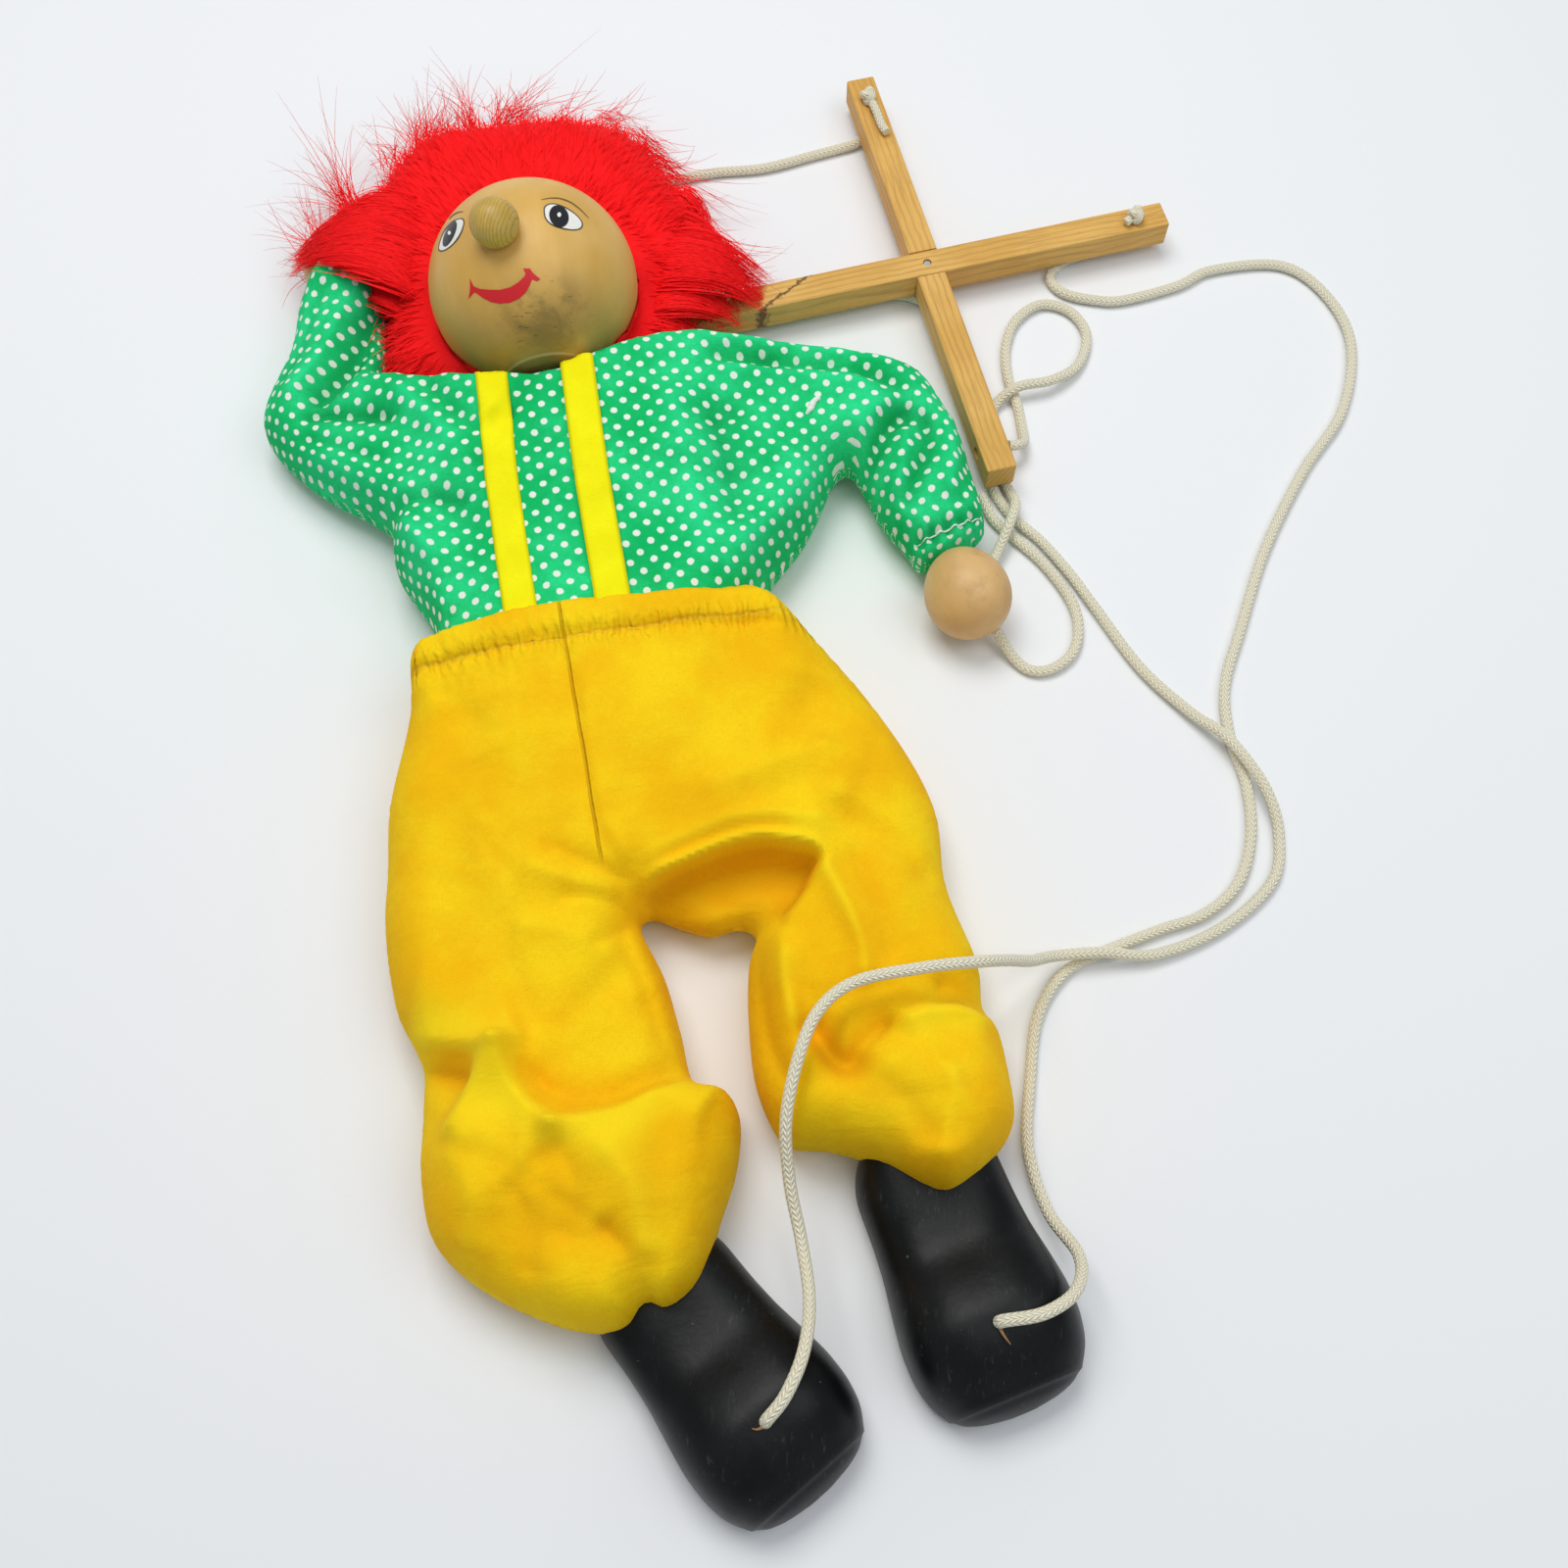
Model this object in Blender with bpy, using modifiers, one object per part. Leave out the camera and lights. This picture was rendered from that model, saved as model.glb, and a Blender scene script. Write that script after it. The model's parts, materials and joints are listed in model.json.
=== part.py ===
# Marionette lying on its back: wooden head, hands and shoes, cloth suit, control cross and strings.
# Metres, +Z up. The origin is under the middle of the doll and its control cross, on the table.

import math

import bmesh
import bpy
from mathutils import Vector

MM = 0.001

# Clearances
GAP = 0.3 * MM          # between glued or resting pieces
HINGE_GAP = 0.7 * MM    # round a turning end
BORE_GAP = 0.4 * MM     # round a cord in its bore

# The doll's own frame: its middle line, through the head, leans on the table
HEAD_X = -61 * MM
HEAD_Y = 125 * MM
HEAD_HEIGHT = 35.5 * MM
LEAN = math.radians(11)

# Head, nose and neck
HEAD_R = 33.5 * MM
HEAD_SEAT = 31.5 * MM       # from the ball's centre to the flat it stands on
NECK_TILT = math.radians(12)
PEG_R = 4 * MM
PEG_IN_HEAD = 15 * MM
PEG_IN_TORSO = 16 * MM
FACE_TURN = math.radians(-11.5)
NOSE_R = 7.6 * MM
NOSE_RISE = math.radians(4)
NOSE_PROUD = 38.5 * MM      # from the head's centre to the nose's centre
TENON_R = 2.4 * MM
TENON_DEPTH = 7 * MM

# Wig
WIG_X = 6 * MM
WIG_Y = 30 * MM
WIG_Z = 19 * MM
WIG_HALF_WIDTH = 55 * MM
WIG_HALF_LENGTH = 58 * MM
WIG_HALF_HEIGHT = 20.5 * MM
WIG_NOTCH_LOW = (40 * MM, -12 * MM)     # room for the end of the cross bar, across and along the doll
WIG_NOTCH_HIGH = (90 * MM, 9 * MM)
WIG_HAIRLINE = 5 * MM       # how far the hairline plane stands in front of the head's centre
WIG_HAIRLINE_TILT = math.radians(38)
WIG_NAPE = -19 * MM         # lowest the wig comes, along the doll
WIG_BACKING = 0.6 * MM

# Torso block
TORSO_HALF_WIDTH = 28 * MM
TORSO_TOP = -34.4 * MM
TORSO_BOTTOM = -150 * MM
TORSO_FLOOR = 4 * MM
TORSO_CEILING = 36 * MM
TORSO_EDGE = 4 * MM

# Cloth
CLOTH_FLOOR = 0.5 * MM
SHIRT_HEM = -118 * MM
BAND_HALF_WIDTH = 49 * MM
BAND_CEILING = 38.5 * MM
SHIRT_CEILING = 37.6 * MM
SUSPENDER_WIDTH = 10 * MM
SUSPENDER_THICKNESS = 1.2 * MM
LEFT_SUSPENDER = -18.5 * MM
RIGHT_SUSPENDER = 8.8 * MM
BAND_WIDTH = 8.4 * MM
SEAT_CEILING = 40 * MM
GATHER = 0.015              # one gather's swell, as a share of the cloth's half width
BODY_SQUARE = 3.4           # how square a section is: the shirt and band, the seat, the legs, the sleeves
SEAT_SQUARE = 3.0
LEG_SQUARE = 2.8
SLEEVE_SQUARE = 2.5

# Joints of the arms and legs, across and along the doll from its head
RIGHT_SHOULDER = (57 * MM, -50 * MM)
RIGHT_ELBOW = (107 * MM, -62 * MM)
RIGHT_WRIST = (114 * MM, -110 * MM)
LEFT_SHOULDER = (-52 * MM, -54 * MM)
LEFT_ELBOW = (-84 * MM, -25 * MM)
LEFT_WRIST = (-68 * MM, 23 * MM)
LEFT_HIP = (-36 * MM, -182 * MM)
LEFT_KNEE = (-34 * MM, -248 * MM)
LEFT_ANKLE = (-10 * MM, -316 * MM)
RIGHT_HIP = (57 * MM, -182 * MM)
RIGHT_KNEE = (58 * MM, -246 * MM)
RIGHT_ANKLE = (65 * MM, -300 * MM)
LEFT_TOE_TURN = math.radians(-151.6)
RIGHT_TOE_TURN = math.radians(-170)

# Round ends and middles of the cloth forms at those joints
SHOULDER_R = 13 * MM
SLEEVE_MIDDLE = 14 * MM
ELBOW_R = 12 * MM
ELBOW_MIDDLE = 13.5 * MM
LEFT_SHOULDER_R = 20 * MM
LEFT_ELBOW_R = 14.5 * MM
FOREARM_HALF = 17 * MM
CUFF_R = 9.5 * MM
HIP_R = 17 * MM
HIP_MIDDLE = 18 * MM
KNEE_R = 17 * MM
KNEE_MIDDLE = 17.7 * MM
LEG_CORD_HEIGHT = 25 * MM

# Slope of a lifted limb's top, at the end of its range, that its socket leaves room for
SHOULDER_LIFT = math.radians(48)
ELBOW_LIFT = math.radians(46)
HIP_LIFT = math.radians(48)
KNEE_LIFT = math.radians(60)

# Half widths of the trouser legs at the thigh, knee and calf
ANKLE_HALF = 16 * MM
LEFT_WIDTHS = (33 * MM, 36 * MM, 41 * MM)
RIGHT_WIDTHS = (30 * MM, 31 * MM, 35 * MM)
HIP_TUCK = 1 * MM           # how much narrower the thigh's round end is
KNEE_SWELL = 2 * MM         # how much wider the thigh's cloth is at the knee
KNEE_LAP = 14 * MM          # how far the thigh's cloth runs on over the knee
KNEE_LAP_TUCK = 4 * MM
SHIN_SWELL = 1 * MM
ANKLE_LAP = 5 * MM          # how far the trousers run on past the ankle
HEEL_ROOM = 5 * MM          # room for the heel under the trousers' end
VALLEY_R = 14 * MM          # hollow in the slack cloth across the left knee
VALLEY_LENGTH = 74 * MM
VALLEY_MIDDLE = (-18 * MM, -256.5 * MM, 44 * MM)
VALLEY_TURN = math.radians(-18.4)

# Sections of the cloth tubes. A share is of the tube's length; sizes are in millimetres
# Shirt body, from the neck down: share, half width, below its ceiling, gathers, shift to the side
SHIRT_SECTIONS = (
    (0.0, 42, 1, 0, 0),
    (0.1, 48, 0, 0, 0),
    (0.4, 56, 0, 0, -2),
    (0.72, 58, 0, 0, -4),
    (0.9, 52, 0, 1, -2),
    (1.0, 49, 0, -1, 0),
)
# Seat, from the band down: along, half width, below its ceiling, gathers, shift to the side
SEAT_SECTIONS = (
    (0, 49, 1.5, -1, 0),
    (4, 55, 1, 1, -3),
    (10, 61, 0, 0.5, -5),
    (23, 67, 0, 0, -6.5),
    (37, 73, 0, 0, -7),
    (49, 75, 2, 0, -8),
    (63, 60, 5, 0, -10),
    (77, 34, 12, 0, -12),
    (86, 18, 20, 0, -13),
)
# Right upper sleeve, from the shoulder out: along, half width, lowest, highest, shift to the side
SHOULDER_HALF = 29 * MM
RIGHT_SLEEVE_SECTIONS = (
    (12, 29, 0.5, 28, 0),
    (26, 25, 0.5, 29, 0),
    (40, 22, 0.5, 29, -2),
    (54, 19, 0.5, 27, -4),
    (66, 12, 3, 22, -6),
)
# Left upper sleeve, from the shoulder out: share, half width, highest
LEFT_SLEEVE_TOP = 29 * MM
LEFT_SLEEVE_SECTIONS = (
    (0.45, 20, 29),
    (0.8, 19, 28),
    (1.19, 15, 26),
)
# Both lower sleeves, from the elbow down: share, half width, highest; then the cuff: share, of its radius, gathers
LEFT_ELBOW_TOP = 27 * MM
FOREARM_SECTIONS = (
    (0.35, 14.5, 26),
    (0.65, 13, 25),
)
CUFF_SECTIONS = (
    (0.86, 1.0, 2),
    (0.93, 1.1, -2),
    (1.0, 1.1, 2),
)
# Both thighs, from the hip down: share, of the thigh's half width, of the knee's, highest
THIGH_SECTIONS = (
    (0.3, 1, 0, 37),
    (0.55, 1, 0, 36),
    (0.8, 0, 1, 33),
)
THIGH_KNEE_TOP = 35 * MM
THIGH_LAP_TOP = 33 * MM
# Both shins, from the knee down: share, of the calf's half width, highest, gathers; then the ankle: highest
SHIN_SECTIONS = (
    (0.2, 1.0, 39, 0),
    (0.45, 1.0, 41, 0),
    (0.68, 0.84, 41, 0),
    (0.85, 0.6, 40, 1),
)
ANKLE_SHARE = 0.96
ANKLE_TOP = 37 * MM
ANKLE_LAP_TOP = 35 * MM
ROUND_END_START = math.radians(12)      # where a round end's first section stands, from its tip
ROUND_END_STEPS = 5

# The shoe from its heel's axis forward: share of its front, of the way from heel to full width, height of the toe's
SHOE_MIDDLE = (
    (0.46, 0.7, 0.9),
    (0.62, 1.0, 1.0),
)
SHOE_TOE = (
    (0.76, 0.97, 0.93),
    (0.88, 0.84, 0.76),
    (0.96, 0.62, 0.56),
    (1.0, 0.36, 0.38),
)
SHOE_WAIST = (0.3, 0.2)
HEEL_STEPS = 6
HEEL_START = math.radians(14)

# Cords
CORD_R = 1.7 * MM
CORD_SHORT = 2 * MM         # how far a limb's cord stops short of each hinge axis

# Hands
HAND_R = 13.5 * MM
HAND_LENGTH = 30 * MM
HAND_HEIGHT = 14.4 * MM
HAND_BLUNT = 0.06           # how much wider the egg is towards its far end
HAND_STEPS = 10
WRIST_DEPTH = 7 * MM        # from the hand's near end to its hinge axis

# Shoes
SHOE_LENGTH = 83 * MM
SHOE_HALF_WIDTH = 24 * MM
HEEL_R = 20.5 * MM
HEEL_HEIGHT = 19 * MM
TOE_HEIGHT = 28 * MM
STRING_HOLE_FROM_TOE = 21.5 * MM
STRING_HOLE_R = 2.2 * MM
STRING_HOLE_DEPTH = 9 * MM
SOLE_EDGE = 5 * MM          # height of the sole's rim
SOLE_DRAW = 0.93            # the sole's width against the rim's
SHOE_SQUARE = 0.75
SHOE_STEPS = 12

# Control cross
BAR_LENGTH = 172 * MM
BAR_SIDE = 10 * MM
BAR_FLOOR = 4.2 * MM         # the bars lie on the strings that run under them
BAR_EDGE = 0.6 * MM
CROSS_X = 69 * MM
CROSS_Y = 153 * MM
CROSS_TURN = math.radians(14.5)
BAR_HOLE_FROM_END = 11 * MM
BAR_HOLE_R = 2.1 * MM
KNOT_R = 3.4 * MM
KNOT_SEAT = 2.7 * MM        # from the knot's middle to the bar
PIN_R = 1.2 * MM

SEGMENTS = 22               # points round a cloth form
ROUTE_STEPS = 24            # points between two of a route's own, before they are evened out
STRING_SPACING = 9 * MM

# Finishes: colour, roughness and metallic value
FINISHES = {
    "wood": ((0.62, 0.45, 0.26), 0.45, 0.0),
    "bar": ((0.70, 0.50, 0.27), 0.55, 0.0),
    "fur": ((0.86, 0.02, 0.02), 0.80, 0.0),
    "shirt": ((0.03, 0.50, 0.16), 0.85, 0.0),
    "tape": ((0.95, 0.80, 0.02), 0.75, 0.0),
    "trousers": ((0.93, 0.55, 0.02), 0.85, 0.0),
    "shoe": ((0.012, 0.012, 0.013), 0.35, 0.0),
    "cord": ((0.80, 0.74, 0.60), 0.80, 0.0),
    "steel": ((0.55, 0.55, 0.56), 0.35, 1.0),
}

# The strings' routes, in millimetres, from the control cross to the doll
STRING_ROUTES = {
    "head_string": [
        (50.2, 225.6, 1.9), (49.5, 221, 1.9), (46, 217.4, 1.9), (40, 215, 1.9), (31, 212, 1.9), (13, 206, 1.9),
        (-4, 204, 1.9), (-16, 201, 2.2), (-24.5, 196.6, 3.8), (-29.3, 192.9, 5.8),
    ],
    "right_foot_string": [
        (141.6, 171.8, 1.9), (129, 168, 1.9), (118, 163.5, 1.9), (113, 156.5, 1.9), (117.5, 150, 1.9),
        (128, 147, 1.9), (138, 147, 1.9), (157, 153, 1.9), (170, 160, 1.9), (194, 162, 1.9), (208, 150, 1.9),
        (214.5, 129, 1.9), (208, 101, 1.9), (192, 77, 1.9), (176, 47, 1.9), (165, 18, 1.9), (158, -2, 1.9),
        (157.5, -19, 1.9), (161, -36, 1.9), (160.5, -53, 1.9), (155, -68, 1.9), (144, -77.5, 1.9), (130, -82.5, 1.9),
        (109, -91, 1.9), (100, -97, 1.9), (93, -109, 1.9), (90, -126, 1.9), (88, -146, 3.0), (92, -164, 6.0),
        (98, -177, 16.0), (95, -187, 26.0), (86, -193, 30.8), (75.4, -194.8, 29.5),
    ],
    "left_foot_string": [
        (-3.6, 134.2, 1.9), (25, 141.6, 1.9), (52, 148.6, 1.9), (66, 147.5, 1.9), (74.5, 137, 1.9),
        (77, 118, 1.9), (80, 104, 1.9), (84.5, 90, 1.9), (87.6, 76, 1.9), (90.5, 66, 1.9), (95.8, 58, 1.9),
        (103.5, 50, 1.9), (112, 38, 1.9), (119, 26, 1.9), (132, 4, 1.9), (146, -12, 3.0), (154.5, -20.5, 5.8),
        (161, -30, 6.2), (166.5, -40, 4.6), (169, -52, 1.9), (165.5, -67, 1.9), (150, -81, 1.9), (129, -90, 3.0),
        (112, -90.5, 6.2), (98, -92, 7.5), (90, -96, 16), (82, -99.5, 28), (72, -103, 38), (57, -106, 42.5), (39, -110, 43), (29, -118, 43),
        (23.5, -131, 42), (20.5, -146, 37), (21.5, -160, 27.5), (24.5, -174, 22), (26.5, -189, 24.5),
        (25, -202, 30), (20.5, -212.5, 31.2), (15.8, -218.2, 29.0),
    ],
    "hand_string": [
        (93.8, 82.0, 9.2), (97.0, 83.0, 8.2), (99.6, 87, 4.2), (99.6, 95, 1.9), (98.5, 104, 1.9), (96, 115, 1.9), (96, 127, 1.9),
        (100, 138, 1.9), (109, 145, 1.9), (119, 142, 1.9), (124, 132, 1.9), (120, 119, 2.4), (110, 111, 5.0),
        (99, 108, 5.6), (92, 104, 2.4), (89.2, 96, 1.9), (90.6, 84, 1.9), (92.8, 73, 1.9), (94.8, 66.8, 3.0),
        (95.2, 61, 6.8), (92.8, 53.5, 7.2), (88.6, 44, 4.6), (84.2, 34.2, 7.1),
    ],
    "hand_return_string": [
        (84.8, 67.4, 2.1), (88.5, 58.2, 1.9), (95.6, 50.6, 1.9), (103.6, 42.0, 1.9), (111, 30, 1.9),
        (113.5, 20, 1.9), (111.5, 10, 1.9), (105, 4, 1.9), (98, 3, 1.9), (92.5, 7, 2.4), (86.6, 14.8, 6.7),
    ],
}


def clear_scene():
    for item in list(bpy.data.objects):
        bpy.data.objects.remove(item, do_unlink=True)


def new_collection(name):
    group = bpy.data.collections.new(name)
    bpy.context.scene.collection.children.link(group)
    return group


def paint(name, finish):
    """A sub-part's own material, from its finish: colour, roughness and metallic value."""
    colour, roughness, metallic = FINISHES[finish]
    material = bpy.data.materials.new(name)
    material.use_nodes = True
    shader = material.node_tree.nodes["Principled BSDF"]
    shader.inputs["Base Color"].default_value = (*colour, 1.0)
    shader.inputs["Roughness"].default_value = roughness
    shader.inputs["Metallic"].default_value = metallic
    return material


def frame(name, at, turn=(0, 0, 0), parent=None):
    """An empty that pieces hang from."""
    empty = bpy.data.objects.new(name, None)
    PARTS.objects.link(empty)
    empty.parent = parent
    empty.location = at
    empty.rotation_euler = turn
    return empty


def keep(name, mesh, finish, parent=None, at=(0, 0, 0), turn=(0, 0, 0), smooth=True):
    item = bpy.data.objects.new(name, mesh)
    PARTS.objects.link(item)
    item.parent = parent
    item.location = at
    item.rotation_euler = turn
    mesh.materials.append(paint(name, finish))
    if smooth:
        mesh.shade_smooth()
        mesh.set_sharp_from_angle(angle=math.radians(40))
    return item


def cutter(name, mesh, parent=None, at=(0, 0, 0), turn=(0, 0, 0)):
    item = bpy.data.objects.new(name, mesh)
    CUTTERS.objects.link(item)
    item.parent = parent
    item.location = at
    item.rotation_euler = turn
    item.hide_render = True
    item.display_type = "WIRE"
    return item


def cut(item, tool, operation="DIFFERENCE"):
    modifier = item.modifiers.new(tool.name, "BOOLEAN")
    modifier.operation = operation
    modifier.object = tool


def mesh_from(bm, name):
    bmesh.ops.recalc_face_normals(bm, faces=bm.faces)
    mesh = bpy.data.meshes.new(name)
    bm.to_mesh(mesh)
    bm.free()
    return mesh


def cylinder_mesh(name, radius, length, sides=24):
    """A cylinder along Z, centred on its middle."""
    bm = bmesh.new()
    bmesh.ops.create_cone(bm, cap_ends=True, segments=sides, radius1=radius, radius2=radius, depth=length)
    return mesh_from(bm, name)


def box_mesh(name, low, high, edge=0.0):
    bm = bmesh.new()
    bmesh.ops.create_cube(bm, size=1.0)
    low, high = Vector(low), Vector(high)
    bmesh.ops.scale(bm, vec=high - low, verts=bm.verts)
    bmesh.ops.translate(bm, vec=(low + high) / 2, verts=bm.verts)
    if edge:
        bmesh.ops.bevel(bm, geom=bm.edges[:], offset=edge, segments=2, profile=0.5, affect="EDGES")
    return mesh_from(bm, name)


def turned(name, profile, finish, parent=None, at=(0, 0, 0), turn=(0, 0, 0), steps=24):
    """A lathe-turned piece: (radius, height) points from top to bottom, spun round Z."""
    bm = bmesh.new()
    points = [bm.verts.new((radius, 0, height)) for radius, height in profile]
    for first, second in zip(points, points[1:]):
        bm.edges.new((first, second))
    mesh = bpy.data.meshes.new(name)
    bm.to_mesh(mesh)
    bm.free()
    item = keep(name, mesh, finish, parent, at, turn, smooth=False)
    screw = item.modifiers.new("turn", "SCREW")
    screw.steps = steps
    screw.render_steps = steps
    screw.use_merge_vertices = True
    screw.merge_threshold = 0.00001
    return item


def ball_profile(radius, low, top_count=12):
    """Points down a ball's outside, from its pole to a flat at height low, and in to the axis."""
    end = math.acos(max(-1.0, min(1.0, low / radius)))
    angles = [end * step / top_count for step in range(top_count + 1)]
    points = [(radius * math.sin(angle), radius * math.cos(angle)) for angle in angles]
    points[0] = (0.0, radius)
    return points


def ring(along, half_width, low, high, ripple=0.0, side=0.0):
    """One section of a cloth tube: its place along the tube, half width, and lowest and highest points."""
    return dict(along=along, half_width=half_width, low=low, high=high, ripple=ripple, side=side)


def round_angles(start, steps):
    """Angles from a round end's first section up to, but not at, its axis."""
    return [start + (math.pi / 2 - start) * step / steps for step in range(steps)]


def round_end_flat(radius, half_width, middle):
    """Sections of an end that is round about a level axis across the tube."""
    rings = []
    for angle in round_angles(ROUND_END_START, ROUND_END_STEPS):
        rise = radius * math.sin(angle)
        rings.append(ring(-radius * math.cos(angle), half_width, middle - rise, middle + rise))
    return rings


def round_end_upright(radius, low, high):
    """Sections of an end that is round about an upright axis."""
    rings = []
    for angle in round_angles(ROUND_END_START, ROUND_END_STEPS):
        rings.append(ring(-radius * math.cos(angle), radius * math.sin(angle), low, high))
    return rings


def loft_mesh(name, rings, squareness, gathers=14):
    """A closed cloth form through its sections. The tube runs along local +Y from the first ring."""
    bm = bmesh.new()
    loops = []
    power = 2.0 / squareness
    for section in rings:
        middle = (section["low"] + section["high"]) / 2
        half_height = (section["high"] - section["low"]) / 2
        loop = []
        for step in range(SEGMENTS):
            angle = 2 * math.pi * step / SEGMENTS
            swell = 1.0 + section["ripple"] * math.cos(gathers * angle)
            across = math.copysign(abs(math.cos(angle)) ** power, math.cos(angle))
            upward = math.copysign(abs(math.sin(angle)) ** power, math.sin(angle))
            x = section["side"] + section["half_width"] * across * swell
            z = middle + half_height * upward * swell
            loop.append(bm.verts.new((x, section["along"], z)))
        loops.append(loop)
    for first, second in zip(loops, loops[1:]):
        for step in range(SEGMENTS):
            after = (step + 1) % SEGMENTS
            bm.faces.new((first[step], first[after], second[after], second[step]))
    bm.faces.new(loops[0])
    bm.faces.new(loops[-1])
    return mesh_from(bm, name)


def heading(start, end):
    """Turn about Z that points local +Y from start to end."""
    return math.atan2(-(end[0] - start[0]), end[1] - start[1])


def span(start, end):
    return math.hypot(end[0] - start[0], end[1] - start[1])


def inner_cord(name, host, start, end, height, parent, short_start, short_end):
    """A straight limb cord in a bore of the cloth form that hides it."""
    turn = (math.radians(-90), 0, 0)
    length = end - start
    bore = cutter(name + "_bore", cylinder_mesh(name + "_bore", CORD_R + BORE_GAP, length + 40 * MM, 12),
                  parent, (0, (start + end) / 2, height), turn)
    cut(host, bore)
    cord_length = length - short_start - short_end
    middle = (start + short_start + end - short_end) / 2
    keep(name, cylinder_mesh(name, CORD_R, cord_length, 12), "cord", parent, (0, middle, height), turn)


def hinge_socket(host, name, radius, length, parent, at, turn):
    """Cuts a host clear of the round end that turns in it."""
    cut(host, cutter(name, cylinder_mesh(name, radius + HINGE_GAP, length, 28), parent, at, turn))


def head_and_nose(doll):
    head = frame("head_axis", (0, 0, HEAD_HEIGHT), (math.radians(-90) + NECK_TILT, 0, 0), doll)
    profile = ball_profile(HEAD_R, -HEAD_SEAT, 14)
    bore_r = PEG_R + GAP
    bore_end = -HEAD_SEAT + PEG_IN_HEAD
    profile += [(bore_r, -HEAD_SEAT), (bore_r, bore_end), (0.0, bore_end)]
    ball = turned("head_ball", profile, "wood", head, steps=32)

    # Local +Z runs up to the crown, so the face looks along local -Y turned by the face's turn
    face = frame("nose_axis", (0, 0, 0), (math.radians(90) - NOSE_RISE, 0, FACE_TURN), head)
    socket = cutter("nose_hole", cylinder_mesh("nose_hole", TENON_R + GAP, 2 * TENON_DEPTH, 16), face,
                    (0, 0, HEAD_R))
    cut(ball, socket)
    tenon_end = HEAD_R - TENON_DEPTH + GAP - NOSE_PROUD
    seat = HEAD_R + GAP - NOSE_PROUD
    nose = ball_profile(NOSE_R, seat, 8)
    nose += [(TENON_R, seat), (TENON_R, tenon_end), (0.0, tenon_end)]
    turned("nose", nose, "wood", face, (0, 0, NOSE_PROUD), steps=20)
    peg_length = PEG_IN_HEAD + PEG_IN_TORSO + (-TORSO_TOP - HEAD_SEAT) - 2 * GAP
    peg_middle = -HEAD_SEAT + PEG_IN_HEAD - GAP - peg_length / 2
    keep("neck_peg", cylinder_mesh("neck_peg", PEG_R, peg_length), "wood", head, (0, 0, peg_middle))
    return head


def wig(doll):
    bm = bmesh.new()
    bmesh.ops.create_uvsphere(bm, u_segments=28, v_segments=14, radius=1.0)
    bmesh.ops.scale(bm, vec=(WIG_HALF_WIDTH, WIG_HALF_LENGTH, WIG_HALF_HEIGHT), verts=bm.verts)
    axis = frame("wig_axis", (0, 0, HEAD_HEIGHT), (0, 0, 0), doll)
    hair = keep("wig", mesh_from(bm, "wig"), "fur", axis, (WIG_X, WIG_Y, WIG_Z - HEAD_HEIGHT))
    big = 4 * HEAD_R
    below = cutter("wig_floor", box_mesh("wig_floor", (-big, -big, -big), (big, big, CLOTH_FLOOR)), doll)
    nape = cutter("wig_nape", box_mesh("wig_nape", (-big, -2 * big, -big), (big, WIG_NAPE, big)), doll)
    hairline = cutter("wig_hairline", box_mesh("wig_hairline", (-big, -big, WIG_HAIRLINE), (big, big, big)), doll,
                      (0, 0, HEAD_HEIGHT), (WIG_HAIRLINE_TILT, 0, 0))
    bm = bmesh.new()
    bmesh.ops.create_uvsphere(bm, u_segments=28, v_segments=16, radius=HEAD_R + WIG_BACKING)
    hollow = cutter("wig_hollow", mesh_from(bm, "wig_hollow"), doll, (0, 0, HEAD_HEIGHT))
    notch = cutter("wig_notch", box_mesh("wig_notch", (*WIG_NOTCH_LOW, -big), (*WIG_NOTCH_HIGH, big)), doll)
    for tool in (hollow, hairline, nape, below, notch):
        cut(hair, tool)


def torso(doll, head):
    low = (-TORSO_HALF_WIDTH, TORSO_BOTTOM, TORSO_FLOOR)
    high = (TORSO_HALF_WIDTH, TORSO_TOP, TORSO_CEILING)
    block = keep("torso_block", box_mesh("torso_block", low, high, TORSO_EDGE), "wood", doll)
    reach = 2 * PEG_IN_TORSO
    hole = cutter("peg_hole", cylinder_mesh("peg_hole", PEG_R + GAP, reach), head,
                  (0, 0, TORSO_TOP - PEG_IN_TORSO + reach / 2))
    cut(block, hole)


def torso_clearance(doll, name):
    """The block's own shape with a clearance, run out past the neck, to hollow the cloth round it."""
    low = (-TORSO_HALF_WIDTH - GAP, TORSO_BOTTOM - GAP, TORSO_FLOOR - GAP)
    high = (TORSO_HALF_WIDTH + GAP, TORSO_TOP + 2 * TORSO_EDGE + GAP, TORSO_CEILING + GAP)
    return cutter(name, box_mesh(name, low, high, TORSO_EDGE), doll)


def cloth(name, rings, finish, parent, squareness):
    return keep(name, loft_mesh(name, rings, squareness), finish, parent)


def shirt(doll):
    """The shirt's body, from the neck to its hem, as a tube round the torso block."""
    trunk = frame("shirt_axis", (0, TORSO_TOP, 0), (0, 0, math.pi), doll)
    length = TORSO_TOP - SHIRT_HEM
    rings = []
    for share, half_width, drop, gathers, side in SHIRT_SECTIONS:
        rings.append(ring(share * length, half_width * MM, CLOTH_FLOOR, SHIRT_CEILING - drop * MM,
                          gathers * GATHER, side * MM))
    body = cloth("shirt_body", rings, "shirt", trunk, BODY_SQUARE)
    cut(body, torso_clearance(doll, "shirt_hollow"))
    return body


def suspenders(doll):
    """Two tapes glued flat down the shirt front, tucked in at the waistband."""
    for name, middle in (("left_suspender", LEFT_SUSPENDER), ("right_suspender", RIGHT_SUSPENDER)):
        low = (middle - SUSPENDER_WIDTH / 2, SHIRT_HEM + GAP, SHIRT_CEILING + GAP)
        high = (middle + SUSPENDER_WIDTH / 2, TORSO_TOP - GAP, SHIRT_CEILING + GAP + SUSPENDER_THICKNESS)
        keep(name, box_mesh(name, low, high, 0.2 * SUSPENDER_THICKNESS), "tape", doll)


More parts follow.
